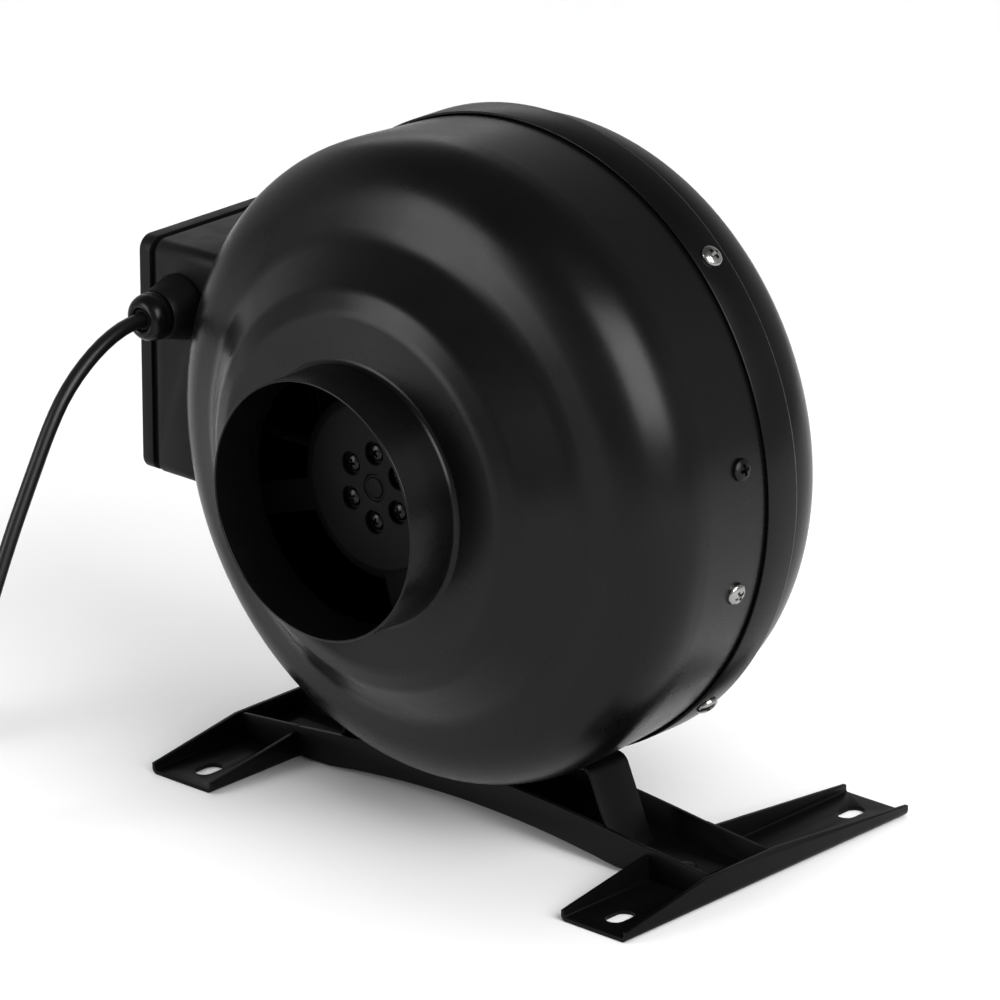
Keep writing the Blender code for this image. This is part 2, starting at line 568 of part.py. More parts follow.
# ================================================================ cable gland
G = (GLAND_X, 0, GLAND_Z)
place(turned("gland_body", [(3.4 * MM, 33.2 * MM), (6.2 * MM, 33.2 * MM), (6.2 * MM, 40.3 * MM),
                            (12.8 * MM, 40.3 * MM), (12.5 * MM, 42.0 * MM), (9.7 * MM, 53.0 * MM),
                            (6.7 * MM, 53.0 * MM), (6.7 * MM, 56.0 * MM), (5.4 * MM, 56.0 * MM),
                            (5.4 * MM, 47.0 * MM), (3.4 * MM, 47.0 * MM)], 20, GLAND_PLASTIC), G, TO_FRONT)
locknut = place(turned("gland_locknut", [(0, 33.6 * MM), (9.4 * MM, 33.6 * MM), (9.4 * MM, 37.3 * MM),
                                         (0, 37.3 * MM)], 6, GLAND_PLASTIC), G, TO_FRONT)
boolean(locknut, place(cylinder("locknut_bore", 6.5 * MM, 20 * MM, 20), (GLAND_X, -35 * MM, GLAND_Z), TO_FRONT))
place(turned("gland_nut", [(7.1 * MM, 53.4 * MM), (8.8 * MM, 53.4 * MM), (9.3 * MM, 54.6 * MM),
                           (9.2 * MM, 57.2 * MM), (8.3 * MM, 60.0 * MM), (6.6 * MM, 61.6 * MM),
                           (5.2 * MM, 61.8 * MM), (4.5 * MM, 61.0 * MM), (4.5 * MM, 59.2 * MM),
                           (7.1 * MM, 56.6 * MM)], 20, GLAND_PLASTIC), G, TO_FRONT)
place(turned("gland_seal", [(3.2 * MM, 47.4 * MM), (5.0 * MM, 47.4 * MM), (5.0 * MM, 56.2 * MM),
                            (4.1 * MM, 59.0 * MM), (4.1 * MM, 60.8 * MM), (3.2 * MM, 60.8 * MM)], 16, RUBBER), G, TO_FRONT)

# ================================================================ cord and plug
route = [(GLAND_X, -44.0 * MM, GLAND_Z), (GLAND_X, -54.0 * MM, GLAND_Z), (GLAND_X, -64.5 * MM, GLAND_Z)]
for y, z in ((-72.0, 28.3), (-79.3, 25.9), (-86.0, 22.6), (-92.4, 18.5), (-98.0, 14.0), (-103.2, 8.8),
             (-107.8, 2.8), (-112.6, -4.6), (-117.8, -13.6), (-123.4, -23.4), (-129.6, -34.6),
             (-136.8, -48.6), (-144.6, -65.0), (-152.2, -83.0), (-158.8, -101.0), (-164.6, -117.0),
             (-170.2, -129.6), (-177.0, -138.6)):
    route.append((GLAND_X, y * MM, z * MM))
route.append((GLAND_X, -186.8 * MM, -142.6 * MM))
tube("power_cord", smooth_route(route, 6.5 * MM), CORD_R, CORD_PVC)

COIL_H = 11.8 * MM                  # two layers of turns, three abreast
COIL_IN, COIL_OUT = COIL_R - 8.9 * MM, COIL_R + 8.9 * MM
COIL_C = (GLAND_X - COIL_OUT + CORD_R, -209.2 * MM)
coil_profile = [(COIL_IN, 1.5 * MM), (COIL_IN + 1.5 * MM, 0.0), (COIL_OUT - 1.5 * MM, 0.0),
                (COIL_OUT, 1.5 * MM), (COIL_OUT, COIL_H - 1.5 * MM), (COIL_OUT - 1.5 * MM, COIL_H),
                (COIL_IN + 1.5 * MM, COIL_H), (COIL_IN, COIL_H - 1.5 * MM)]
place(turned("cord_coil", coil_profile, 32, CORD_PVC), (COIL_C[0], COIL_C[1], 0.3 * MM - AZ))

# the plug lies beside the coil on its rim, its tail a little raised
TILT = math.radians(10)
PLUG_AT = Vector((COIL_C[0] - COIL_OUT + CORD_R, COIL_C[1] + 46.6 * MM, 11.2 * MM - AZ))
PLUG_DIR = Vector((0, math.cos(TILT), math.sin(TILT)))
PLUG_ROT = along(PLUG_DIR)
tail_length = 24.0 * MM
tail = []
for i in range(9):
    t = i / 8
    tail.append((PLUG_AT.x, PLUG_AT.y - GAP - tail_length * (1 - t),
                 PLUG_AT.z - 0.06 * MM - 0.5 * math.tan(TILT) * tail_length * (1 - t * t)))
tube("cord_tail", tail, CORD_R, CORD_PVC)

plug_profile = [(0, 0), (3.9 * MM, 0), (5.6 * MM, 22.0 * MM), (9.5 * MM, 24.5 * MM), (12.5 * MM, 27.0 * MM),
                (14.2 * MM, 36.0 * MM), (18.3 * MM, 41.0 * MM), (18.5 * MM, 43.0 * MM),
                (18.5 * MM, 50.0 * MM), (17.6 * MM, 51.0 * MM), (0, 51.0 * MM)]
plug = place(turned("mains_plug", plug_profile, 24, PLUG_PVC), PLUG_AT, PLUG_ROT)
for i, x in enumerate((-9.5, 9.5), 1):
    foot = PLUG_AT + Vector((x * MM, 0, 0))
    cut = place(cylinder(f"pin_socket_{i}", 2.7 * MM, 16 * MM, 12), foot + PLUG_DIR * 51 * MM, PLUG_ROT)
    boolean(plug, cut)
    pin = [(0, 43.3 * MM), (2.4 * MM, 43.3 * MM), (2.4 * MM, 68.6 * MM), (1.6 * MM, 70.0 * MM), (0, 70.0 * MM)]
    place(turned(f"plug_pin_{i}", pin, 12, BRASS), foot, PLUG_ROT)

# ================================================================ foot bracket
TO_XZ = Matrix(((1, 0, 0), (0, 0, -1), (0, 1, 0))).to_quaternion()       # local X -> X, Y -> Z, Z -> -Y
TO_YZ = Matrix(((0, 0, 1), (1, 0, 0), (0, 1, 0))).to_quaternion()        # local X -> Y, Y -> Z, Z -> X
FLOOR = -AZ


def u_outline(w, h, t, r=2.4 * MM):
    """Channel section, open at the top, with rounded bends."""
    left = [(-w / 2, h)] + arc(-w / 2 + r, r, r, 180, 270, 3)
    right = arc(w / 2 - r, r, r, 270, 360, 3) + [(w / 2, h)]
    inner = [(w / 2 - t, h)] + arc(w / 2 - r, r, r - t, 0, -90, 2) + arc(-w / 2 + r, r, r - t, 270, 180, 2) + [(-w / 2 + t, h)]
    return left + right + inner


def leg(name, x, inner_sign):
    w, h = LEG_W, 14 * MM
    obj = prism(name, u_outline(w, h, PLATE), LEG_Y1 - LEG_Y0, BLACK_BRACKET)
    place(obj, (x, (LEG_Y0 + LEG_Y1) / 2, FLOOR), TO_XZ)
    above = [(LEG_Y0 - 2 * MM, 40 * MM), (LEG_Y0 - 2 * MM, LEG_H_END - 0.4 * MM), (LEG_Y0, LEG_H_END),
             (BAR_Y0 - 2.0 * MM, LEG_H_MID), (BAR_Y1 + 2.0 * MM, LEG_H_MID), (LEG_Y1, LEG_H_END),
             (LEG_Y1 + 2 * MM, LEG_H_END - 0.4 * MM), (LEG_Y1 + 2 * MM, 40 * MM)]
    cut = place(prism(name + "_taper", above, 60 * MM, BLACK_BRACKET, cutter=True), (x, 0, FLOOR), TO_YZ)
    boolean(obj, cut)
    notch = block(name + "_notch", (x + inner_sign * LEG_W / 2 - 6 * MM, BAR_Y0 - GAP, FLOOR + PLATE + 0.02 * MM),
                  (x + inner_sign * LEG_W / 2 + 6 * MM, BAR_Y1 + GAP, FLOOR + 30 * MM), BLACK_BRACKET, cutter=True)
    boolean(obj, notch)
    for k, y in enumerate((LEG_Y0 + SLOT_IN, LEG_Y1 - SLOT_IN), 1):
        half = (SLOT_L - SLOT_W) / 2
        outline = arc(half, 0, SLOT_W / 2, -90, 90, 6) + arc(-half, 0, SLOT_W / 2, 90, 270, 6)
        slot = prism(f"{name}_slot_{k}", [(v, u) for u, v in outline], 8 * MM, BLACK_BRACKET, cutter=True)
        place(slot, (x, y, FLOOR))
        boolean(obj, slot)
    return obj


left_leg = leg("left_leg", -LEG_X, 1)
right_leg = leg("right_leg", LEG_X, -1)

# crossbar: a channel whose web arches a little between the legs
BAR_END = LEG_X + LEG_W / 2 - PLATE - 1.0 * MM
WEB_Z = PLATE + GAP


def web_height(x):
    return WEB_Z + 5.5 * MM * max(0.0, 1 - (x / (72 * MM)) ** 2)


def top_height(x):
    u = abs(x)
    if u > 88 * MM:
        return (11.0 + (BAR_END - u) / MM * 0.09) * MM
    return (13.4 + 6.4 * (1 - (u / (88 * MM)) ** 1.6)) * MM


xs = [BAR_END * s for s in (-1, -0.86, -0.745, -0.6, -0.5, -0.36, -0.2, 0, 0.2, 0.36, 0.5, 0.6, 0.745, 0.86, 1)]
web_line = [(x, web_height(x)) for x in xs]
web = prism("cross_channel", web_line + [(x, top_height(x)) for x in reversed(xs)],
            BAR_Y1 - BAR_Y0, BLACK_BRACKET)
place(web, (0, (BAR_Y0 + BAR_Y1) / 2, FLOOR), TO_XZ)
wide = [(xs[0] - 2 * MM, web_line[0][1])] + web_line + [(xs[-1] + 2 * MM, web_line[-1][1])]
trough = prism("channel_trough", [(x, z + PLATE) for x, z in wide]
               + [(xs[-1] + 2 * MM, 40 * MM), (xs[0] - 2 * MM, 40 * MM)],
               BAR_Y1 - BAR_Y0 - 2 * PLATE, BLACK_BRACKET, cutter=True)
place(trough, (0, (BAR_Y0 + BAR_Y1) / 2, FLOOR), TO_XZ)
boolean(web, trough)


# support straps: foot on the crossbar, sloping strut, tab tangent to the skirt
STRAP_Y0, STRAP_Y1 = BAR_Y0 + PLATE + GAP, -4.0 * MM
STRAP_Z = WEB_Z + PLATE + GAP
TAB_R = R_SKIRT + 1.15 * MM + PLATE / 2
TAB_A = math.radians(25.0)


def strap_line():
    """Centre line of the right-hand strap, from its foot to its tab."""
    n = Vector((math.sin(TAB_A), -math.cos(TAB_A)))
    t = Vector((math.cos(TAB_A), math.sin(TAB_A)))
    foot = Vector((71.4 * MM, -AZ + STRAP_Z + PLATE / 2))
    slope = Vector((-0.40, 0.9165))
    # where the strut meets the tab's line
    k = (TAB_R - foot.dot(n)) / slope.dot(n)
    apex = foot + slope * k
    start = Vector((108.0 * MM, foot.y))
    end = apex - t * 17.0 * MM
    line = [start]
    for p, a, b in ((foot, start, apex), (apex, foot, end)):
        u, v = (a - p).normalized(), (b - p).normalized()
        for s in (0, 0.25, 0.5, 0.75, 1):
            q0, q1 = p + u * 4.0 * MM * (1 - s), p + v * 4.0 * MM * s
            line.append(q0.lerp(q1, s))
    line.append(end)
    return [tuple(p) for p in line], apex, t, n


line, apex, tab_dir, tab_out = strap_line()
for side, name in ((1, "right"), (-1, "left")):
    a = offset(line, PLATE / 2)
    b = offset(line, -PLATE / 2)
    outline = [(side * x, z) for x, z in a + b[::-1]]
    strap = prism(f"{name}_strap", outline, STRAP_Y1 - STRAP_Y0, BLACK_BRACKET)
    y_mid = (STRAP_Y0 + STRAP_Y1) / 2
    place(strap, (0, y_mid, 0), TO_XZ)
    at = apex - tab_dir * 9.5 * MM
    d = Vector((side * tab_out.x, 0, tab_out.y))
    centre = (side * at.x, y_mid, at.y)
    cut = place(cylinder(f"{name}_tab_hole", 2.3 * MM, 14 * MM, 12), centre, along(d))
    boolean(strap, cut)
    boolean(front_shell, cut)
    head = Vector(centre) + d * (PLATE / 2 + GAP)
    place(screw(f"{name}_strap_screw", ZINC, 4.0 * MM, 2.6 * MM, 2.0 * MM, 9 * MM), tuple(head), along(d))
    # rivet through the strap's foot, the crossbar and the leg
    rx = side * 97.0 * MM
    cut = place(cylinder(f"{name}_rivet_hole", 2.5 * MM, 20 * MM, 12), (rx, y_mid, FLOOR))
    for obj in (strap, web, left_leg if side < 0 else right_leg):
        boolean(obj, cut)
    rivet = [(0, 0.5 * MM), (2.1 * MM, 0.5 * MM), (2.1 * MM, STRAP_Z + PLATE + GAP),
             (4.0 * MM, STRAP_Z + PLATE + GAP), (3.6 * MM, STRAP_Z + PLATE + GAP + 1.1 * MM),
             (0, STRAP_Z + PLATE + GAP + 1.5 * MM)]
    place(turned(f"{name}_foot_rivet", rivet, 10, BLACK_SCREW), (rx, y_mid, FLOOR))
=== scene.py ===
import math

import bmesh
import bpy
from mathutils import Matrix, Vector


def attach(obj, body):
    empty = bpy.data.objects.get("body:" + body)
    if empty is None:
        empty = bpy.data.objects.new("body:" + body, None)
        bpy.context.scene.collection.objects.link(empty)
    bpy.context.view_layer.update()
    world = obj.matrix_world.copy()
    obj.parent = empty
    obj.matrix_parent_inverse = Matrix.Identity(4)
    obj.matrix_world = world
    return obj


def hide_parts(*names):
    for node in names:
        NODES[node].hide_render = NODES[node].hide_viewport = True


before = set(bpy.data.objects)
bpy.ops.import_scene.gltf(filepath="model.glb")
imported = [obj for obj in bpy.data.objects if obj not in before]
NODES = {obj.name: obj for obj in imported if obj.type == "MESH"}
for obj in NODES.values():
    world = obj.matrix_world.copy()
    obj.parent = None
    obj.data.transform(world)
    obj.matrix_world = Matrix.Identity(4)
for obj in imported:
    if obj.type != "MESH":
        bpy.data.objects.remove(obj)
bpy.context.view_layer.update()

MM = 0.001
GAP = 0.3 * MM
AX, AY, AZ = 16.15 * MM, 9.5 * MM, 146.0 * MM

# ================================================================ camera
scene = bpy.context.scene
AZIM, ELEV = math.radians(42.1396), math.radians(20.4458)
DIST, OFF_X, OFF_Y = 2.76966, 0.00598, 0.02426
back = Vector((math.sin(AZIM) * math.cos(ELEV), -math.cos(AZIM) * math.cos(ELEV), math.sin(ELEV)))
right = (-back).cross(Vector((0, 0, 1))).normalized()
up = right.cross(-back)
cam_data = bpy.data.cameras.new("camera")
cam_data.sensor_width = 36.0
cam_data.lens = 269.84
cam_data.clip_start, cam_data.clip_end = 0.05, 60.0
cam = bpy.data.objects.new("camera", cam_data)
scene.collection.objects.link(cam)
cam.location = Vector((AX, AY, AZ)) + back * DIST - right * OFF_X - up * OFF_Y
cam.rotation_euler = Matrix((right, up, back)).transposed().to_euler()
scene.camera = cam


# ================================================================ node helpers
class Graph:
    """A few shorthands for building a material's node tree."""

    def __init__(self, name):
        self.mat = bpy.data.materials.new(name)
        self.mat.use_nodes = True
        self.nodes = self.mat.node_tree.nodes
        self.links = self.mat.node_tree.links
        self.shader = self.nodes["Principled BSDF"]
        self.coord = self.nodes.new("ShaderNodeTexCoord")
        self.bump = None

    def set(self, **values):
        for key, value in values.items():
            self.shader.inputs[key.replace("_", " ")].default_value = value
        return self

    def noise(self, scale, detail=2.0, rough=0.5, stretch=None):
        node = self.nodes.new("ShaderNodeTexNoise")
        node.inputs["Scale"].default_value = scale
        node.inputs["Detail"].default_value = detail
        node.inputs["Roughness"].default_value = rough
        source = self.coord.outputs["Object"]
        if stretch:
            mapping = self.nodes.new("ShaderNodeMapping")
            mapping.inputs["Scale"].default_value = stretch
            self.links.new(source, mapping.inputs["Vector"])
            source = mapping.outputs["Vector"]
        self.links.new(source, node.inputs["Vector"])
        return node.outputs["Fac"]

    def ramp(self, fac, stops):
        node = self.nodes.new("ShaderNodeValToRGB")
        elements = node.color_ramp.elements
        while len(elements) < len(stops):
            elements.new(0.5)
        for element, (pos, colour) in zip(elements, stops):
            element.position = pos
            element.color = (*colour, 1.0) if len(colour) == 3 else colour
        self.links.new(fac, node.inputs["Fac"])
        return node.outputs["Color"]

    def spread(self, fac, low, high, lo_in=0.3, hi_in=0.7):
        node = self.nodes.new("ShaderNodeMapRange")
        node.inputs["From Min"].default_value = lo_in
        node.inputs["From Max"].default_value = hi_in
        node.inputs["To Min"].default_value = low
        node.inputs["To Max"].default_value = high
        self.links.new(fac, node.inputs["Value"])
        return node.outputs["Result"]

    def mix(self, fac, a, b):
        node = self.nodes.new("ShaderNodeMix")
        node.data_type = "RGBA"
        for value, socket in ((fac, node.inputs[0]), (a, node.inputs[6]), (b, node.inputs[7])):
            if isinstance(value, (float, tuple)):
                socket.default_value = value
            else:
                self.links.new(value, socket)
        return node.outputs[2]

    def add_bump(self, height, strength, distance):
        node = self.nodes.new("ShaderNodeBump")
        node.inputs["Strength"].default_value = strength
        node.inputs["Distance"].default_value = distance
        self.links.new(height, node.inputs["Height"])
        if self.bump:
            self.links.new(self.bump.outputs["Normal"], node.inputs["Normal"])
        self.bump = node
        self.links.new(node.outputs["Normal"], self.shader.inputs["Normal"])
        return self

    def put(self, socket, value):
        self.links.new(value, self.shader.inputs[socket])
        return self


def powder_coat(name, tone, rough, spec=0.34, dust=0.02):
    g = Graph(name)
    g.set(Metallic=0.0, IOR=1.5, Specular_IOR_Level=spec)
    wide = g.noise(14.0, 3.0, 0.6)
    colour = g.ramp(wide, [(0.25, (tone * 0.82,) * 3), (0.75, (tone * 1.2, tone * 1.2, tone * 1.24))])
    specks = g.spread(g.noise(1900.0, 1.0, 0.4), 0.0, 1.0, 0.735, 0.80)
    colour = g.mix(specks, colour, (dust, dust, dust, 1.0))
    g.put("Base Color", colour)
    g.put("Roughness", g.spread(g.noise(55.0, 4.0, 0.65), rough - 0.025, rough + 0.035))
    g.add_bump(g.noise(620.0, 2.0, 0.5), 0.11, 0.00012)
    g.add_bump(g.noise(3200.0, 1.0, 0.5), 0.05, 0.00004)
    return g.mat


def plastic(name, tone, rough, grain, strength, spec=0.45, tint=(1.0, 1.0, 1.02)):
    g = Graph(name)
    g.set(Metallic=0.0, IOR=1.48, Specular_IOR_Level=spec)
    colour = g.ramp(g.noise(40.0, 3.0, 0.55),
                    [(0.3, tuple(tone * 0.88 * t for t in tint)), (0.7, tuple(tone * 1.12 * t for t in tint))])
    g.put("Base Color", colour)
    g.put("Roughness", g.spread(g.noise(120.0, 3.0, 0.6), rough - 0.04, rough + 0.05))
    g.add_bump(g.noise(grain, 3.0, 0.6), strength, 0.00012)
    return g.mat


def metal(name, colour, rough, grain=900.0, stretch=None, strength=0.06, dark=0.78):
    g = Graph(name)
    g.set(Metallic=1.0)
    tone = g.ramp(g.noise(260.0, 4.0, 0.6), [(0.3, tuple(c * dark for c in colour)), (0.72, colour)])
    g.put("Base Color", tone)
    g.put("Roughness", g.spread(g.noise(420.0, 4.0, 0.6, stretch), rough - 0.06, rough + 0.1))
    g.add_bump(g.noise(grain, 3.0, 0.6, stretch), strength, 0.00008)
    return g.mat


SHELL = powder_coat("shell_coat", 0.0016, 0.28, spec=0.175, dust=0.0028)
BRACKET = powder_coat("bracket_coat", 0.0016, 0.40, spec=0.09, dust=0.0028)
SUPPORT = powder_coat("support_coat", 0.0030, 0.42, spec=0.07, dust=0.0045)
BOX = plastic("box_plastic", 0.0034, 0.46, 2600.0, 0.16, spec=0.13)
GLAND = plastic("gland_polyamide", 0.002, 0.25, 900.0, 0.03, spec=0.17)
GLAND_MATT = plastic("gland_body_polyamide", 0.002, 0.5, 1800.0, 0.12, spec=0.15)
RUBBER = plastic("rubber", 0.003, 0.78, 1500.0, 0.2, spec=0.15)
CORD = plastic("cord_pvc", 0.003, 0.36, 1300.0, 0.06, spec=0.3)
PLUG = plastic("plug_pvc", 0.004, 0.42, 1700.0, 0.1, spec=0.3)
# Impeller plastic lifted above its black tone, as painted fill light for the shade inside the housing.
IMPELLER_PAINTED_FILL = plastic("impeller_painted_fill_light", 0.035, 0.5, 1200.0, 0.1, spec=0.4)
WHITE = plastic("white_plastic", 0.62, 0.42, 1200.0, 0.05, tint=(1.0, 0.99, 0.95))
ZINC = metal("zinc_plated", (0.36, 0.36, 0.35), 0.2)
# Motor screw heads: zinc painted near black, as painted shade for the recesses they sit in.
ZINC_PAINTED_SHADE = metal("zinc_painted_shade", (0.022, 0.022, 0.022), 0.26)
BLACK_SCREW = metal("black_oxide", (0.022, 0.022, 0.023), 0.36)
GALVANISED = metal("galvanised_sheet", (0.46, 0.47, 0.48), 0.36, 160.0, strength=0.12, dark=0.7)
CAST = metal("cast_aluminium", (0.42, 0.42, 0.43), 0.5, 700.0, strength=0.25)
STEEL = metal("ground_steel", (0.58, 0.58, 0.59), 0.2)
LAMINATED = metal("laminated_steel", (0.24, 0.24, 0.25), 0.42, 500.0, (0.05, 8.0, 0.05), 0.3)
COPPER = metal("enamelled_copper", (0.62, 0.27, 0.13), 0.3, 500.0, (3.0, 12.0, 3.0), 0.35)
NICKEL = metal("nickel_brass", (0.74, 0.69, 0.55), 0.22)


# ================================================================ mesh helpers
def link(mesh, name, mat):
    obj = bpy.data.objects.new(name, mesh)
    scene.collection.objects.link(obj)
    mesh.materials.clear()
    mesh.materials.append(mat)
    return obj


def smooth(obj, angle=32):
    obj.data.shade_smooth()
    obj.data.set_sharp_from_angle(angle=math.radians(angle))
    return obj


def bake(obj):
    """Applies the modifiers, so that the object holds its final mesh."""
    bpy.context.view_layer.update()
    graph = bpy.context.evaluated_depsgraph_get()
    mesh = bpy.data.meshes.new_from_object(obj.evaluated_get(graph))
    obj.modifiers.clear()
    obj.data = mesh
    return obj


def settle(obj):
    """Moves the object's placing into its mesh."""
    bpy.context.view_layer.update()
    obj.data.transform(obj.matrix_world)
    obj.matrix_world = Matrix.Identity(4)
    return obj


TO_FRONT = Matrix.Rotation(math.radians(90), 4, "X")
TO_REAR = Matrix.Rotation(math.radians(-90), 4, "X")


def toward(direction):
    return Vector(direction).normalized().to_track_quat("Z", "Y").to_matrix().to_4x4()


def at(x=0.0, y=0.0, z=0.0):
    return Matrix.Translation((AX + x, AY + y, AZ + z))


def lathe(name, profile, segs, mat, placing, angle=32, closed=True):
    """Turns a (radius, height) outline about local Z."""
    total = 0.0
    for (r0, z0), (r1, z1) in zip(profile, profile[1:] + profile[:1]):
        total += r0 * z1 - r1 * z0
    if total > 0:
        profile = profile[::-1]
    mesh = bpy.data.meshes.new(name)
    bm = bmesh.new()
    rings = []
    for r, z in profile:
        if r < 1e-9:
            rings.append([bm.verts.new((0, 0, z))])
        else:
            rings.append([bm.verts.new((r * math.cos(2 * math.pi * i / segs), r * math.sin(2 * math.pi * i / segs), z))
                          for i in range(segs)])
    pairs = list(zip(rings, rings[1:] + rings[:1])) if closed else list(zip(rings, rings[1:]))
    for a, b in pairs:
        if len(a) == 1 and len(b) == 1:
            continue
        for i in range(segs):
            j = (i + 1) % segs
            quad = [a[i % len(a)], b[i % len(b)], b[j % len(b)], a[j % len(a)]]
            ring = []
            for v in quad:
                if v not in ring:
                    ring.append(v)
            bm.faces.new(ring)
    bmesh.ops.recalc_face_normals(bm, faces=bm.faces)
    bm.to_mesh(mesh)
    bm.free()
    mesh.transform(placing)
    return smooth(link(mesh, name, mat), angle)


def arc(cx, cy, r, a0, a1, n):
    return [(cx + r * math.cos(math.radians(a0 + (a1 - a0) * i / n)),
             cy + r * math.sin(math.radians(a0 + (a1 - a0) * i / n))) for i in range(n + 1)]


def rounded(points, n=5):
    """A line through (x, y, radius) corners, with each corner turned in an arc."""
    out = [tuple(points[0][:2])]
    for (ax, ay, *_), (px, py, r), (bx, by, *_) in zip(points, points[1:], points[2:]):
        p, a, b = Vector((px, py)), Vector((ax, ay)), Vector((bx, by))
        u, v = (a - p).normalized(), (b - p).normalized()
        half = math.acos(max(-1.0, min(1.0, u.dot(v)))) / 2
        if r <= 0 or half > math.radians(89.5):
            out.append((px, py))
            continue
        t = min(r / math.tan(half), (a - p).length * 0.49, (b - p).length * 0.49)
        r = t * math.tan(half)
        centre = p + (u + v).normalized() * (r / math.sin(half))
        s, e = p + u * t - centre, p + v * t - centre
        sweep = math.atan2(s.x * e.y - s.y * e.x, s.dot(e))
        for i in range(n + 1):
            q = centre + Matrix.Rotation(sweep * i / n, 2) @ s
            out.append((q.x, q.y))
    out.append(tuple(points[-1][:2]))
    return out


def offset(points, by):
    out = []
    for i, p in enumerate(points):
        p = Vector(p)
        a, b = Vector(points[max(i - 1, 0)]), Vector(points[min(i + 1, len(points) - 1)])
        before = (p - a) if i else (b - p)
        after = (b - p) if i < len(points) - 1 else before
        n0, n1 = Vector((before.y, -before.x)).normalized(), Vector((after.y, -after.x)).normalized()
        n = (n0 + n1).normalized()
        out.append(tuple(p + n * by / max(n.dot(n0), 0.5)))
    return out


def prism(name, outline, depth, mat, placing):
    """A flat outline in local XY made a solid, depth thick about local Z."""
    total = sum(x0 * y1 - x1 * y0 for (x0, y0), (x1, y1) in zip(outline, outline[1:] + outline[:1]))
    if total < 0:
        outline = outline[::-1]
    mesh = bpy.data.meshes.new(name)
    bm = bmesh.new()
    face = bm.faces.new([bm.verts.new((x, y, -depth / 2)) for x, y in outline])
    grown = bmesh.ops.extrude_face_region(bm, geom=[face])["geom"]
    bmesh.ops.translate(bm, vec=(0, 0, depth), verts=[v for v in grown if isinstance(v, bmesh.types.BMVert)])
    bmesh.ops.recalc_face_normals(bm, faces=bm.faces)
    bm.to_mesh(mesh)
    bm.free()
    mesh.transform(placing)
    return link(mesh, name, mat)


def cut(obj, tool, how="DIFFERENCE"):
    mod = obj.modifiers.new("cut", "BOOLEAN")
    mod.operation = how
    mod.object = tool
    mod.solver = "EXACT"
    bake(obj)
    bpy.data.objects.remove(tool, do_unlink=True)
    return obj


def ease(obj, width, segments=2, angle=38):
    """Rounds the sharp edges."""
    mod = obj.modifiers.new("edges", "BEVEL")
    mod.width = width
    mod.segments = segments
    mod.limit_method = "ANGLE"
    mod.angle_limit = math.radians(angle)
    mod.use_clamp_overlap = True
    bake(obj)
    return smooth(obj, 40)


def bar(name, r, length, placing, segs=32):
    mesh = bpy.data.meshes.new(name)
    bm = bmesh.new()
    bmesh.ops.create_cone(bm, cap_ends=True, segments=segs, radius1=r, radius2=r, depth=length)
    bm.to_mesh(mesh)
    bm.free()
    mesh.transform(placing)
    return link(mesh, name, ZINC)


def keep(piece, body, slot, *nodes):
    if nodes:
        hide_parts(*nodes)
    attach(piece, body)
    return piece


# ================================================================ cord
GLAND_X, GLAND_Z = -133.5 * MM, 29.4 * MM
CORD_R = 2.9 * MM
COIL_R = 35.0 * MM
COIL_OUT = COIL_R + 8.9 * MM
COIL_C = (GLAND_X - COIL_OUT + CORD_R, -209.2 * MM)
TILT = math.radians(10)
PLUG_AT = Vector((COIL_C[0] - COIL_OUT + CORD_R, COIL_C[1] + 46.6 * MM, 11.2 * MM - AZ))
PLUG_DIR = Vector((0, math.cos(TILT), math.sin(TILT)))


def smooth_route(points, spacing):
    pts = [Vector(p) for p in points]
    pts = [pts[0] * 2 - pts[1]] + pts + [pts[-1] * 2 - pts[-2]]
    fine = []
    for a, b, c, d in zip(pts, pts[1:], pts[2:], pts[3:]):
        for i in range(24):
            t = i / 24
            fine.append(0.5 * ((2 * b) + (c - a) * t + (2 * a - 5 * b + 4 * c - d) * t * t
                               + (3 * b - a - 3 * c + d) * t ** 3))
    fine.append(pts[-2])
    total = sum((q - p).length for p, q in zip(fine, fine[1:]))
    count = max(2, round(total / spacing))
    out, run, want = [fine[0]], 0.0, total / count
    for p, q in zip(fine, fine[1:]):
        step = (q - p).length
        while step > 0 and run + step >= want and len(out) < count:
            t = (want - run) / step
            p = p.lerp(q, t)
            out.append(p.copy())
            step = (q - p).length
            run = 0.0
        run += step
    out.append(fine[-1])
    return out


route = [(GLAND_X, -44.0 * MM, GLAND_Z), (GLAND_X, -54.0 * MM, GLAND_Z), (GLAND_X, -64.5 * MM, GLAND_Z)]
for y, z in ((-72.0, 28.3), (-79.3, 25.9), (-86.0, 22.6), (-92.4, 18.5), (-98.0, 14.0), (-103.2, 8.8),
             (-107.8, 2.8), (-112.6, -4.6), (-117.8, -13.6), (-123.4, -23.4), (-129.6, -34.6),
             (-136.8, -48.6), (-144.6, -65.0), (-152.2, -83.0), (-158.8, -101.0), (-164.6, -117.0),
             (-170.2, -129.6), (-177.0, -138.6)):
    route.append((GLAND_X, y * MM, z * MM))
route.append((GLAND_X, -186.8 * MM, -142.6 * MM))
line = smooth_route(route, 5.5 * MM)

# the coil: outer, middle and inner turn of the lower layer, then back out on the upper layer
floor_z = 0.35 * MM - AZ + CORD_R
pitch = 2 * CORD_R + 0.14 * MM
r_out = COIL_OUT - CORD_R - 0.05 * MM
levels = [(r_out, 0), (r_out - pitch, 0), (r_out - 2 * pitch, 0), (r_out - 2 * pitch, 1), (r_out - pitch, 1), (r_out, 1)]
TURNS = 5.5
PER_TURN = 30


def coil_point(turn):
    """A point on the coil, by turns from its start on the +X side, wound clockwise from above."""
    k = min(int(turn), len(levels) - 1)
    f = turn - k
    r, lay = levels[k]
    nxt = levels[min(k + 1, len(levels) - 1)]
    s = max(0.0, (f - 0.72) / 0.28)
    s = s * s * (3 - 2 * s)
    r += (nxt[0] - r) * s
    lay += (nxt[1] - lay) * s
    a = -2 * math.pi * turn
    return Vector((COIL_C[0] + r * math.cos(a), COIL_C[1] + r * math.sin(a), floor_z + lay * (pitch - 0.1 * MM)))


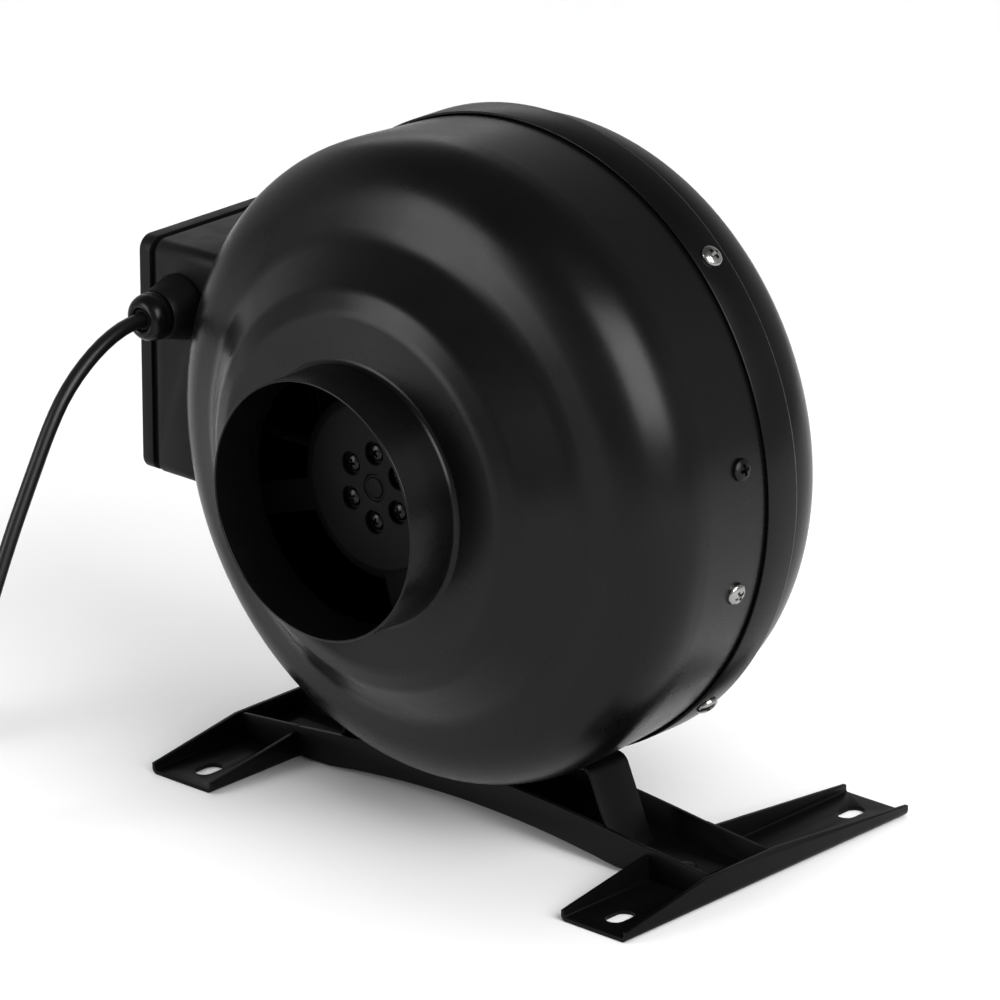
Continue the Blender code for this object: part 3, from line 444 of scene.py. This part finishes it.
coil = [coil_point(TURNS * i / round(TURNS * PER_TURN)) for i in range(round(TURNS * PER_TURN) + 1)]
join = [line[-1].lerp(coil[0], t) for t in (0.25, 0.5, 0.75)]
for i, t in enumerate((0.25, 0.5, 0.75)):
    join[i].z = line[-1].z + (coil[0].z - line[-1].z) * (t * t * (3 - 2 * t))
tail_start = coil[-1]
tail_end = PLUG_AT - PLUG_DIR * GAP
tail = []
for i in range(1, 10):
    t = i / 9
    y = tail_start.y + (tail_end.y - tail_start.y) * t
    rise = t * t * (1.0 - 0.0 * t)
    z0, z1 = tail_start.z, tail_end.z
    m1 = math.tan(TILT) * (tail_end.y - tail_start.y)
    h00, h01, h11 = 2 * t ** 3 - 3 * t * t + 1, 3 * t * t - 2 * t ** 3, t ** 3 - t * t
    z = h00 * z0 + h01 * z1 + h11 * m1
    x = tail_start.x + (tail_end.x - tail_start.x) * (3 * t * t - 2 * t ** 3)
    tail.append(Vector((x, y, z)))
cord_points = [p + Vector((AX, AY, AZ)) for p in line + join + coil + tail]

curve = bpy.data.curves.new("supply_cord", "CURVE")
curve.dimensions = "3D"
curve.bevel_depth = CORD_R
curve.bevel_resolution = 5
curve.use_fill_caps = True
spline = curve.splines.new("POLY")
spline.points.add(len(cord_points) - 1)
for point, p in zip(spline.points, cord_points):
    point.co = (*p, 1)
spline.use_smooth = True
cord = bpy.data.objects.new("supply_cord", curve)
scene.collection.objects.link(cord)
curve.materials.append(CORD)
keep(cord, "housing", "cord_pvc", "power_cord", "cord_coil", "cord_tail")

plug_profile = rounded([(0, 0, 0), (3.6 * MM, 0, 0), (5.4 * MM, 21.5 * MM, 1.5 * MM), (9.5 * MM, 24.5 * MM, 1.5 * MM),
                        (12.5 * MM, 27.5 * MM, 2 * MM), (14.2 * MM, 36.0 * MM, 3 * MM), (18.3 * MM, 40.6 * MM, 1.6 * MM),
                        (18.5 * MM, 50.9 * MM, 1.0 * MM), (0, 50.9 * MM, 0)], 4)
PLUG_PLACE = at(*PLUG_AT) @ toward(PLUG_DIR)
plug = lathe("plug_body", plug_profile, 64, PLUG, PLUG_PLACE)
for k in range(5):
    groove = lathe("groove", [(4.55 * MM + 0.0 * k * MM, (4.0 + 3.4 * k) * MM), (8 * MM, (4.0 + 3.4 * k) * MM),
                              (8 * MM, (5.4 + 3.4 * k) * MM), (4.55 * MM, (5.4 + 3.4 * k) * MM)], 48, PLUG, PLUG_PLACE)
    cut(plug, groove)
for x in (-9.5, 9.5):
    socket = bar("socket", 2.7 * MM, 16 * MM, PLUG_PLACE @ Matrix.Translation((x * MM, 0, 51 * MM)), 24)
    cut(plug, socket)
smooth(plug, 35)
keep(plug, "housing", "plug_pvc", "mains_plug")
for i, x in enumerate((-9.5, 9.5), 1):
    pin = lathe(f"pin_{i}", rounded([(0, 43.3 * MM, 0), (2.4 * MM, 43.3 * MM, 0.1 * MM), (2.4 * MM, 69.2 * MM, 2.2 * MM),
                                     (0, 70.0 * MM, 0)], 6), 24, NICKEL,
                at(*(PLUG_AT + Vector((x * MM, 0, 0)))) @ toward(PLUG_DIR))
    keep(pin, "housing", "brass", f"plug_pin_{i}")


# ================================================================ shells
def rim_round(r_in, r_out, h, n=6):
    """The folded edge of a sheet, seen as a half round from inside to outside."""
    c, rr = (r_in + r_out) / 2, (r_out - r_in) / 2
    return [(c + rr * math.cos(math.radians(180 - 180 * i / n)), h - rr + rr * math.sin(math.radians(180 * i / n)))
            for i in range(n + 1)]


def densify(points, step):
    out = []
    for (x0, y0), (x1, y1) in zip(points, points[1:]):
        n = max(1, int(math.hypot(x1 - x0, y1 - y0) / step))
        out += [(x0 + (x1 - x0) * i / n, y0 + (y1 - y0) * i / n) for i in range(n)]
    return out + [points[-1]]


def shell_line(y_rim, rho, r_side, side_y, shoulder):
    head = [(49.0 * MM, y_rim - 0.5 * MM, 0), (49.0 * MM, y_rim - 23.55 * MM, 2.2 * MM)]
    head += [(r * MM, y_rim - drop * MM, fillet * MM) for r, drop, fillet in shoulder]
    dome = arc(r_side - rho, side_y, rho, 77, 0, 22)
    head.append((*dome[0], 0))
    return rounded(head, 8)[:-1] + dome


def shell(name, outer, mat, placing, low_edge):
    inner = offset(outer, 1.0 * MM)
    if sum(r for r, _ in inner) > sum(r for r, _ in outer):
        inner = offset(outer, -1.0 * MM)
    r0, h0 = outer[0]
    rim = rim_round(inner[0][0], r0, h0 + 0.5 * MM)
    foot_h = outer[-1][1]
    r_a, r_b = outer[-1][0], inner[-1][0]
    foot = [(r_a - 0.12 * MM, foot_h - 0.25 * MM), (r_a - 0.35 * MM, foot_h - 0.32 * MM), (r_b + 0.2 * MM, foot_h - 0.32 * MM)]
    profile = outer + foot + inner[::-1][:-1] + rim[:-1]
    return lathe(name, profile, 168, mat, placing, 50)


front_outer = shell_line(110 * MM, 27.4 * MM, 122.8 * MM, 37.2 * MM,
                         ((67.6, 25.1, 14.0), (75.6, 28.5, 11.0), (91.6, 43.4, 16.0)))
front_outer += rounded([(*front_outer[-1], 0), (122.8 * MM, 33.0 * MM, 60 * MM), (121.05 * MM, 1.0 * MM, 10 * MM), (121.0 * MM, -12.6 * MM, 0)], 6)[1:]
front_skin = shell("outlet_shell", front_outer, SHELL, at() @ TO_FRONT, -13.0)
keep(front_skin, "housing", "shell_powder_coat", "front_shell")

rear_outer = shell_line(91 * MM, 26.3 * MM, 118.6 * MM, 19.4 * MM,
                        ((73.65, 28.95, 9.0), (81.67, 40.77, 12.0)))
rear_outer += rounded([(*rear_outer[-1], 0), (118.7 * MM, 17.5 * MM, 0.7 * MM), (121.4 * MM, 16.7 * MM, 1.0 * MM),
                       (122.4 * MM, 15.4 * MM, 1.2 * MM), (122.4 * MM, 0.33 * MM, 0)], 5)[1:]
rear_skin = shell("inlet_shell", rear_outer, SHELL, at() @ TO_REAR, 0.0)
keep(rear_skin, "housing", "shell_powder_coat", "rear_shell")

# ================================================================ inlet ring, impeller and motor
ring_profile = [(50.3, 65.3), (47.0, 59.0), (44.9, 53.8), (43.6, 49.0), (42.5, 44.0), (42.05, 39.0), (42.0, 31.4), (42.5, 31.1),
                (43.1, 31.4), (43.15, 39.0), (43.6, 43.8), (44.7, 48.6), (46.1, 53.4), (48.1, 58.5), (51.2, 63.2), (53.4, 64.1),
                (63.8, 61.6), (63.95, 62.2), (63.8, 62.5), (53.4, 65.0)]
ring = lathe("inlet_nozzle", [(r * MM, z * MM) for r, z in ring_profile], 128, GALVANISED, at() @ TO_REAR, 50)
keep(ring, "housing", "galvanised_steel", "inlet_ring")

R_WHEEL = 86.0 * MM
hub = [(36.8, 51.7), (38.4, 51.9), (38.7, 51.4), (38.7, 21.0), (39.6, 19.2), (41.5, 18.35), (85.4, 13.55), (85.95, 13.1),
       (85.95, 11.9), (85.4, 11.55), (39.0, 16.0), (38.0, 16.25), (0.0, 16.25), (0.0, 18.1), (35.0, 18.15), (36.2, 18.9), (36.8, 20.3)]
wheel = lathe("impeller_wheel", [(r * MM, z * MM) for r, z in hub], 120, IMPELLER_PAINTED_FILL, at() @ TO_FRONT, 40)
shroud_line = [(85.9, -16.0), (76.0, -18.4), (66.0, -21.4), (58.0, -24.5), (52.0, -27.8), (48.9, -30.6), (47.1, -33.4), (46.3, -36.0), (46.0, -38.0)]
shroud_in = [(r - (1.5 if i > 4 else 0.5), z + (0.5 if i > 4 else 1.6)) for i, (r, z) in enumerate(shroud_line)]
shroud = lathe("impeller_shroud", [(r * MM, z * MM) for r, z in shroud_line + shroud_in[::-1]], 120, IMPELLER_PAINTED_FILL, at() @ TO_FRONT, 40)
keep(wheel, "rotor", "impeller_plastic", "impeller")
keep(shroud, "rotor", "impeller_plastic")
for i in range(7):
    blade_line = []
    for k in range(17):
        t = k / 16
        r = (48.5 + 36.5 * t) * MM
        a = math.radians(360 / 7 * i + 62 * t ** 0.9)
        blade_line.append((r * math.cos(a), r * math.sin(a)))
    other = offset(blade_line, 1.7 * MM)
    blade = prism(f"impeller_blade_{i + 1}", blade_line + other[::-1], 30.0 * MM, IMPELLER_PAINTED_FILL,
                  at(0, 0.4 * MM + 2.6 * MM, 0) @ TO_FRONT)
    ease(blade, 0.25 * MM, 2)
    # trims the outer end to the sloping plates
    for v in blade.data.vertices:
        r = math.hypot(v.co.x - AX, v.co.z - AZ)
        t = (r - 47 * MM) / (39 * MM)
        y = v.co.y - AY
        hi = (26.5 - 11.0 * min(max(t, 0), 1)) * MM
        lo = -(16.6 - 4.5 * min(max(t, 0), 1)) * MM
        mid = 3.0 * MM
        v.co.y = AY + (mid + (y - mid) * ((hi - mid) / (15.0 * MM) if y > mid else (lo - mid) / (-15.0 * MM)))
    keep(blade, "rotor", "impeller_plastic")

cup = lathe("rotor_can", [(r * MM, z * MM) for r, z in
                          [(0, 22.0), (31.0, 22.0), (31.0, 64.3), (35.6, 64.5), (36.0, 64.0), (36.0, 21.5), (35.5, 19.6), (34.0, 18.5), (0, 18.5)]],
            96, GALVANISED, at() @ TO_FRONT, 35)
keep(cup, "rotor", "galvanised_steel", "rotor_cup")

# motor support: a pressed disc with its arms
DISC_F, DISC_B = 77.0 * MM, 73.0 * MM
disc_profile = rounded([(0, DISC_B, 0), (33.8 * MM, DISC_B, 1.0 * MM), (35.0 * MM, DISC_B + 1.6 * MM, 0.7 * MM), (34.6 * MM, DISC_F - 1.2 * MM, 0.9 * MM),
                        (31.0 * MM, DISC_F - 0.1 * MM, 3.0 * MM), (5.4 * MM, DISC_F, 0.5 * MM), (4.8 * MM, DISC_F - 0.7 * MM, 0.4 * MM),
                        (4.2 * MM, DISC_F - 0.7 * MM, 0.4 * MM), (3.7 * MM, DISC_F, 0.5 * MM), (0, DISC_F, 0)], 5)
support = lathe("motor_plate", disc_profile, 96, SUPPORT, at() @ TO_FRONT, 30)
for i in range(4):
    a = math.radians(-72 + 90 * i)
    d = Vector((math.cos(a), 0, math.sin(a)))
    frame3 = Matrix((d, Vector((0, 1, 0)), d.cross(Vector((0, 1, 0))))).transposed().to_4x4()
    arm = prism(f"support_arm_{i}", [(-23 * MM, -6 * MM), (23.5 * MM, -6 * MM), (23.5 * MM, 6 * MM), (-23 * MM, 6 * MM)], 3.2 * MM, SUPPORT,
                at(d.x * 50 * MM, -74.8 * MM, d.z * 50 * MM) @ frame3 @ Matrix.Rotation(math.radians(90), 4, "X"))
    cut(support, arm, "UNION")
    foot = prism(f"support_foot_{i}", [(-3.4 * MM, -8 * MM), (3.4 * MM, -8 * MM), (3.4 * MM, 8 * MM), (-3.4 * MM, 8 * MM)], 6.2 * MM, SUPPORT,
                 at(d.x * 69.6 * MM, -74.6 * MM, d.z * 69.6 * MM) @ frame3 @ Matrix.Rotation(math.radians(90), 4, "X"))
    cut(support, foot, "UNION")
for i in range(6):
    a = math.radians(30 + 60 * i)
    tool = lathe("bore", [(0, 70 * MM), (2.3 * MM, 70 * MM), (2.3 * MM, 74.7 * MM), (4.2 * MM, 74.8 * MM), (4.3 * MM, 76.6 * MM), (4.75 * MM, 77.1 * MM),
                          (4.75 * MM, 79 * MM), (0, 79 * MM)], 32, SUPPORT,
                 at(math.cos(a) * 13.3 * MM, 0, math.sin(a) * 13.3 * MM) @ TO_FRONT)
    cut(support, tool)
smooth(support, 30)
keep(support, "housing", "support_powder_coat", "motor_support")


# ================================================================ screws
def pan_head(name, mat, head_r, head_h, seat, direction, slot_turn, shank=5.0, body="housing", mat_slot="zinc_steel", node=None, segs=36):
    """A domed head with a cross recess; seat is the point under the head."""
    dome = [(head_r * math.cos(math.radians(a)), head_h * (0.28 + 0.72 * math.sin(math.radians(a)))) for a in range(0, 90, 12)]
    profile = [(0, -shank * MM), (1.5 * MM, -shank * MM), (1.5 * MM, 0), (head_r - 0.15 * MM, 0), (head_r, 0.12 * MM)] + dome + [(0, head_h)]
    placing = at(*seat) @ toward(direction)
    obj = lathe(name, profile, segs, mat, placing, 40)
    turn = placing @ Matrix.Rotation(math.radians(slot_turn), 4, "Z")
    for k in range(2):
        w, l = head_r * 0.15, head_r * 0.54
        wedge = prism("wedge", [(-l, head_h * 1.3), (-l * 0.95, head_h * 0.62), (-l * 0.3, -head_h * 0.1), (l * 0.3, -head_h * 0.1), (l * 0.95, head_h * 0.62), (l, head_h * 1.3)],
                      2 * w, mat, turn @ Matrix.Rotation(math.radians(90 * k), 4, "Z") @ Matrix.Rotation(math.radians(90), 4, "X"))
        cut(obj, wedge)
    smooth(obj, 35)
    keep(obj, body, mat_slot, *([node] if node else []))
    return obj


def side(angle, y, r):
    a = math.radians(angle)
    return (math.cos(a) * r, y, math.sin(a) * r), Vector((math.cos(a), 0, math.sin(a)))


for i, (angle, turn) in enumerate(((45, 20), (-45, 65), (135, 10), (-135, 40)), 1):
    seat, d = side(angle, 8.3 * MM, 122.42 * MM)
    pan_head(f"band_screw_head_{i}", ZINC, 4.3 * MM, 2.5 * MM, seat, d, turn, node=f"band_screw_{i}")
seat, d = side(9.2, -13.7 * MM, 121.76 * MM)
pan_head("clip_screw_head", BLACK_SCREW, 4.3 * MM, 2.5 * MM, seat, d, 8, mat_slot="blackened_steel", node="lead_clip_screw")
seat, d = side(-13.5, -13.7 * MM, 121.76 * MM)
pan_head("earth_screw_head", ZINC, 4.3 * MM, 2.5 * MM, seat, d, 28, node="earth_screw")
# The motor screw heads take the zinc with painted shade.
for i in range(6):
    a = math.radians(30 + 60 * i)
    pan_head(f"motor_screw_head_{i + 1}", ZINC_PAINTED_SHADE, 3.3 * MM, 1.9 * MM, (math.cos(a) * 13.3 * MM, -74.85 * MM, math.sin(a) * 13.3 * MM),
             (0, -1, 0), 17 + 37 * i, shank=4.0, node=f"motor_screw_{i + 1}", segs=28)

# ================================================================ terminal box
BOX_X0, BOX_X1 = -146.4 * MM, -112.0 * MM
BOX_Y0, BOX_Y1 = -40.0 * MM, 36.0 * MM
BOX_Z0, BOX_Z1 = -41.0 * MM, 52.5 * MM
LID_X0, LID_X1 = -155.1 * MM, -149.6 * MM
TO_SIDE = Matrix(((0, 0, -1), (-1, 0, 0), (0, 1, 0))).to_4x4()
OUT = (-1, 0, 0)


def plate_outline(inset, r, n=8):
    y0, y1, z0, z1 = BOX_Y0 + inset, BOX_Y1 - inset, BOX_Z0 + inset, BOX_Z1 - inset
    out = []
    for cy, cz, a in ((y1 - r, z1 - r, 0), (y0 + r, z1 - r, 90), (y0 + r, z0 + r, 180), (y1 - r, z0 + r, 270)):
        out += arc(cy, cz, r, a, a + 90, n)
    return [(-y, z) for y, z in out]


def plate(name, x0, x1, inset, r, mat):
    return prism(name, plate_outline(inset, r), abs(x1 - x0), mat, at((x0 + x1) / 2, 0, 0) @ TO_SIDE)


base = plate("terminal_box", BOX_X0, BOX_X1, 0.0, 5.0 * MM, BOX)
cut(base, bar("saddle", 123.3 * MM, 260 * MM, at() @ TO_FRONT, 160))
hollow = plate("hollow", BOX_X0 - 3 * MM, BOX_X1 + 4 * MM, 2.4 * MM, 4.0 * MM, BOX)
cut(hollow, bar("saddle_in", 125.6 * MM, 250 * MM, at() @ TO_FRONT, 160))
cut(base, hollow)
cut(base, bar("gland_hole", 6.6 * MM, 12 * MM, at(GLAND_X, BOX_Y0, GLAND_Z) @ TO_FRONT))
ease(base, 0.7 * MM, 2, 50)
keep(base, "housing", "box_plastic", "terminal_box_base")

lid = plate("terminal_box_cover", LID_X1, LID_X0, 0.0, 5.6 * MM, BOX)
for y, z in ((-34.6, 47.1), (30.6, 47.1), (-34.6, -35.6), (30.6, -35.6)):
    cut(lid, lathe("lid_bore", [(0, -4 * MM), (1.95 * MM, -4 * MM), (1.95 * MM, 3.7 * MM), (3.6 * MM, 3.8 * MM), (3.6 * MM, 8 * MM), (0, 8 * MM)], 32, BOX,
                   at(LID_X1, y * MM, z * MM) @ toward(OUT)))
panel = plate("panel", LID_X0 - 1 * MM, LID_X0 + 0.55 * MM, 11.0 * MM, 3.0 * MM, BOX)
cut(lid, panel)
ease(lid, 1.1 * MM, 3, 50)
keep(lid, "housing", "box_plastic", "terminal_box_lid")
for i, (y, z) in enumerate(((-34.6, 47.1), (30.6, 47.1), (-34.6, -35.6), (30.6, -35.6)), 1):
    pan_head(f"lid_screw_head_{i}", ZINC, 3.1 * MM, 1.4 * MM, (LID_X1 - 3.9 * MM, y * MM, z * MM), OUT, 13 * i, shank=9.0, node=f"lid_screw_{i}", segs=28)
gasket = plate("cover_gasket", -149.62 * MM, -146.38 * MM, 1.9 * MM, 4.6 * MM, RUBBER)
cut(gasket, plate("window", -140 * MM, -155 * MM, 4.6 * MM, 2.5 * MM, RUBBER))
keep(gasket, "housing", "rubber", "lid_gasket")

# ================================================================ cable gland
G = at(GLAND_X, 0, GLAND_Z) @ TO_FRONT
body = lathe("gland_sleeve", [(r * MM, z * MM) for r, z in
                              [(3.4, 33.2), (6.2, 33.2), (6.2, 40.1), (12.3, 40.1), (12.75, 40.5), (12.8, 41.2), (12.3, 42.6), (11.2, 46.4), (10.3, 49.8),
                               (9.75, 52.6), (9.4, 53.0), (6.7, 53.0), (6.7, 56.0), (5.4, 56.0), (5.4, 47.0), (3.4, 47.0)]], 72, GLAND_MATT, G, 40)
keep(body, "housing", "gland_plastic", "gland_body")
nut = lathe("gland_cap", [(r * MM, z * MM) for r, z in
                          [(7.1, 53.4), (8.7, 53.4), (9.15, 53.7), (9.3, 54.4), (9.3, 55.2), (9.05, 55.7), (9.0, 56.3), (9.15, 56.9), (9.0, 57.9), (8.6, 59.2), (7.9, 60.4), (7.0, 61.3),
                           (6.0, 61.75), (5.2, 61.75), (4.7, 61.4), (4.5, 60.8), (4.5, 59.2), (7.1, 56.6)]], 72, GLAND, G, 45)
keep(nut, "housing", "gland_plastic", "gland_nut")
seal = lathe("gland_insert", [(r * MM, z * MM) for r, z in
                              [(3.05, 47.4), (5.0, 47.4), (5.0, 56.2), (4.3, 59.0), (4.2, 60.6), (3.8, 61.0), (3.05, 60.8)]], 48, RUBBER, G, 40)
keep(seal, "housing", "rubber", "gland_seal")

# ================================================================ foot bracket
FLOOR = -AZ
PLATE = 1.5 * MM
LEG_X, LEG_W = 103.85 * MM, 31.5 * MM
LEG_Y0, LEG_Y1 = -73.4 * MM, 86.5 * MM
LEG_H_MID, LEG_H_END = 11.2 * MM, 4.2 * MM
BAR_Y0, BAR_Y1 = -26.4 * MM, 8.0 * MM
SLOT_L, SLOT_W, SLOT_IN = 12.5 * MM, 7.5 * MM, 14.5 * MM
TO_XZ = Matrix(((1, 0, 0), (0, 0, -1), (0, 1, 0))).to_4x4()
TO_YZ = Matrix(((0, 0, 1), (1, 0, 0), (0, 1, 0))).to_4x4()


def channel(w, h, t, r=2.4 * MM, n=7):
    out = [(-w / 2, h)] + arc(-w / 2 + r, r, r, 180, 270, n) + arc(w / 2 - r, r, r, 270, 360, n) + [(w / 2, h)]
    return out + [(w / 2 - t, h)] + arc(w / 2 - r, r, r - t, 0, -90, n) + arc(-w / 2 + r, r, r - t, 270, 180, n) + [(-w / 2 + t, h)]


def block_tool(lo, hi):
    mesh = bpy.data.meshes.new("tool")
    bm = bmesh.new()
    bmesh.ops.create_cube(bm, size=1.0)
    bmesh.ops.scale(bm, vec=[h - l for l, h in zip(lo, hi)], verts=bm.verts)
    bm.to_mesh(mesh)
    bm.free()
    mesh.transform(at(*[(l + h) / 2 for l, h in zip(lo, hi)]))
    return link(mesh, "tool", BRACKET)


def leg(name, x, inner, node):
    obj = prism(name, channel(LEG_W, 14 * MM, PLATE), LEG_Y1 - LEG_Y0, BRACKET, at(x, (LEG_Y0 + LEG_Y1) / 2, FLOOR) @ TO_XZ)
    above = [(LEG_Y0 - 2 * MM, 40 * MM), (LEG_Y0 - 2 * MM, LEG_H_END - 0.4 * MM), (LEG_Y0, LEG_H_END), (BAR_Y0 - 2.0 * MM, LEG_H_MID),
             (BAR_Y1 + 2.0 * MM, LEG_H_MID), (LEG_Y1, LEG_H_END), (LEG_Y1 + 2 * MM, LEG_H_END - 0.4 * MM), (LEG_Y1 + 2 * MM, 40 * MM)]
    cut(obj, prism("taper", above, 60 * MM, BRACKET, at(x, 0, FLOOR) @ TO_YZ))
    cut(obj, block_tool((x + inner * LEG_W / 2 - 6 * MM, BAR_Y0 - GAP, FLOOR + PLATE + 0.02 * MM),
                        (x + inner * LEG_W / 2 + 6 * MM, BAR_Y1 + GAP, FLOOR + 30 * MM)))
    for y in (LEG_Y0 + SLOT_IN, LEG_Y1 - SLOT_IN):
        half = (SLOT_L - SLOT_W) / 2
        outline = arc(half, 0, SLOT_W / 2, -90, 90, 16) + arc(-half, 0, SLOT_W / 2, 90, 270, 16)
        cut(obj, prism("slot", [(v, u) for u, v in outline], 8 * MM, BRACKET, at(x, y, FLOOR)))
    ease(obj, 0.22 * MM, 2, 48)
    return keep(obj, "housing", "bracket_powder_coat", node)


leg("left_foot_rail", -LEG_X, 1, "left_leg")
leg("right_foot_rail", LEG_X, -1, "right_leg")

BAR_END = LEG_X + LEG_W / 2 - PLATE - 1.0 * MM
WEB_Z = PLATE + GAP


def web_height(x):
    return WEB_Z + 5.5 * MM * max(0.0, 1 - (x / (72 * MM)) ** 2)


def top_height(x):
    u = abs(x)
    if u > 88 * MM:
        return (11.0 + (BAR_END - u) / MM * 0.09) * MM
    return (13.4 + 6.4 * (1 - (u / (88 * MM)) ** 1.6)) * MM


xs = sorted(set([BAR_END * s / 24 for s in range(-24, 25)] + [-87.99 * MM, 87.99 * MM, -88.01 * MM, 88.01 * MM, -72 * MM, 72 * MM]))
web_line = [(x, web_height(x)) for x in xs]
crossbar = prism("cross_member", web_line + [(x, top_height(x)) for x in reversed(xs)], BAR_Y1 - BAR_Y0, BRACKET,
                 at(0, (BAR_Y0 + BAR_Y1) / 2, FLOOR) @ TO_XZ)
wide = [(xs[0] - 2 * MM, web_line[0][1])] + web_line + [(xs[-1] + 2 * MM, web_line[-1][1])]
cut(crossbar, prism("trough", [(x, z + PLATE) for x, z in wide] + [(xs[-1] + 2 * MM, 40 * MM), (xs[0] - 2 * MM, 40 * MM)],
                    BAR_Y1 - BAR_Y0 - 2 * PLATE, BRACKET, at(0, (BAR_Y0 + BAR_Y1) / 2, FLOOR) @ TO_XZ))
ease(crossbar, 0.3 * MM, 2, 50)
keep(crossbar, "housing", "bracket_powder_coat", "cross_channel")

STRAP_Y0, STRAP_Y1 = BAR_Y0 + PLATE + GAP, -4.0 * MM
STRAP_Z = WEB_Z + PLATE + GAP
TAB_R = 121.0 * MM + 1.15 * MM + PLATE / 2
TAB_A = math.radians(25.0)
n = Vector((math.sin(TAB_A), -math.cos(TAB_A)))
t = Vector((math.cos(TAB_A), math.sin(TAB_A)))
foot = Vector((71.4 * MM, -AZ + STRAP_Z + PLATE / 2))
slope = Vector((-0.40, 0.9165))
apex = foot + slope * ((TAB_R - foot.dot(n)) / slope.dot(n))
strap_line = rounded([(108.0 * MM, foot.y, 0), (*foot, 4.5 * MM), (*apex, 4.5 * MM), (*(apex - t * 17.0 * MM), 0)], 8)
for s, name in ((1, "right"), (-1, "left")):
    outline = [(s * x, z) for x, z in offset(strap_line, PLATE / 2) + offset(strap_line, -PLATE / 2)[::-1]]
    strap = prism(f"{name}_support_strap", outline, STRAP_Y1 - STRAP_Y0, BRACKET, at(0, (STRAP_Y0 + STRAP_Y1) / 2, 0) @ TO_XZ)
    ease(strap, 0.25 * MM, 2, 50)
    keep(strap, "housing", "bracket_powder_coat", f"{name}_strap")
    centre = apex - t * 9.5 * MM
    d = Vector((s * n.x, 0, n.y))
    seat = Vector((s * centre.x, (STRAP_Y0 + STRAP_Y1) / 2, centre.y)) + d * (PLATE / 2 + 0.02 * MM)
    pan_head(f"{name}_tab_screw_head", ZINC, 4.0 * MM, 2.6 * MM, tuple(seat), d, 22, shank=7.0, node=f"{name}_strap_screw")
    rivet = lathe(f"{name}_rivet_head", [(0, 0.5 * MM), (2.1 * MM, 0.5 * MM), (2.1 * MM, STRAP_Z + PLATE), (3.9 * MM, STRAP_Z + PLATE)]
                  + [(3.9 * MM * math.cos(math.radians(a)), STRAP_Z + PLATE + 1.5 * MM * math.sin(math.radians(a))) for a in range(15, 90, 15)]
                  + [(0, STRAP_Z + PLATE + 1.5 * MM)], 40, BLACK_SCREW, at(s * 97.0 * MM, (STRAP_Y0 + STRAP_Y1) / 2, FLOOR), 35)
    keep(rivet, "housing", "blackened_steel", f"{name}_foot_rivet")

# ================================================================ CAD nodes that stay
LOOKS = {"motor_base": CAST, "stator_core": LAMINATED, "winding_front": COPPER, "winding_rear": COPPER,
         "bearing_front": STEEL, "bearing_rear": STEEL, "motor_shaft": STEEL, "motor_lead": CORD, "lead_grommet": RUBBER,
         "lead_clip": GALVANISED, "gland_locknut": GLAND, "box_screw_1": ZINC, "box_screw_2": ZINC,
         "terminal_block": WHITE, "run_capacitor": WHITE}
for name, obj in NODES.items():
    if obj.hide_render:
        continue
    obj.data.materials.clear()
    obj.data.materials.append(LOOKS[name])
    smooth(obj, 35)

# ================================================================ stage
mesh = bpy.data.meshes.new("floor")
bm = bmesh.new()
bmesh.ops.create_grid(bm, x_segments=1, y_segments=1, size=14.0)
bm.to_mesh(mesh)
bm.free()
g = Graph("floor_paper")
g.set(Specular_IOR_Level=0.1)
g.put("Base Color", g.ramp(g.noise(3.0, 3.0, 0.5), [(0.3, (0.735, 0.735, 0.738)), (0.7, (0.755, 0.755, 0.755))]))
g.put("Roughness", g.spread(g.noise(60.0, 3.0, 0.5), 0.85, 0.95))
floor = link(mesh, "floor", g.mat)
floor.location.z = -0.0002

world = bpy.data.worlds.new("studio")
scene.world = world
world.use_nodes = True
sky = world.node_tree
height = sky.nodes.new("ShaderNodeSeparateXYZ")
sky.links.new(sky.nodes.new("ShaderNodeTexCoord").outputs["Generated"], height.inputs["Vector"])
fade = sky.nodes.new("ShaderNodeMapRange")
for key, value in (("From Min", 0.32), ("From Max", 0.75), ("To Min", 0.52), ("To Max", 0.13)):
    fade.inputs[key].default_value = value
sky.links.new(height.outputs["Z"], fade.inputs["Value"])
sky.nodes["Background"].inputs["Color"].default_value = (1.0, 1.0, 1.0, 1.0)
sky.links.new(fade.outputs["Result"], sky.nodes["Background"].inputs["Strength"])


def softbox(name, azimuth, elevation, distance, width, height, radiance, target=(AX, AY, AZ)):
    """A soft light seen from the target at an azimuth and elevation in degrees."""
    a, e = math.radians(azimuth), math.radians(elevation)
    d = Vector((math.sin(a) * math.cos(e), -math.cos(a) * math.cos(e), math.sin(e)))
    data = bpy.data.lights.new(name, "AREA")
    data.shape = "RECTANGLE"
    data.size, data.size_y = width, height
    data.energy = radiance * math.pi * width * height
    obj = bpy.data.objects.new(name, data)
    scene.collection.objects.link(obj)
    side_axis = Vector((0, 0, 1)).cross(d)
    side_axis = side_axis.normalized() if side_axis.length > 0.01 else Vector((1, 0, 0))
    obj.location = Vector(target) + d * distance
    obj.rotation_euler = Matrix((side_axis, d.cross(side_axis), d)).transposed().to_euler()
    return obj


softbox("right_softbox", 77, 33, 1.9, 1.50, 1.25, 8.8)
softbox("left_softbox", -29, 15, 1.7, 0.66, 1.10, 6.4)
overhead = softbox("floor_wash", 0, 90, 2.2, 2.4, 2.4, 0.8, (-0.25, 0.25, 0.0))
overhead.visible_glossy = False
far_wash = softbox("far_wash", 0, 90, 2.0, 2.8, 2.8, 1.45, (-0.8, 0.9, 0.0))
far_wash.visible_glossy = False
softbox("back_left_card", -128, 24, 2.2, 0.8, 0.6, 0.9)

scene.view_settings.view_transform = "Standard"
scene.view_settings.look = "None"
scene.view_settings.exposure = 0.0
scene.view_settings.gamma = 1.0
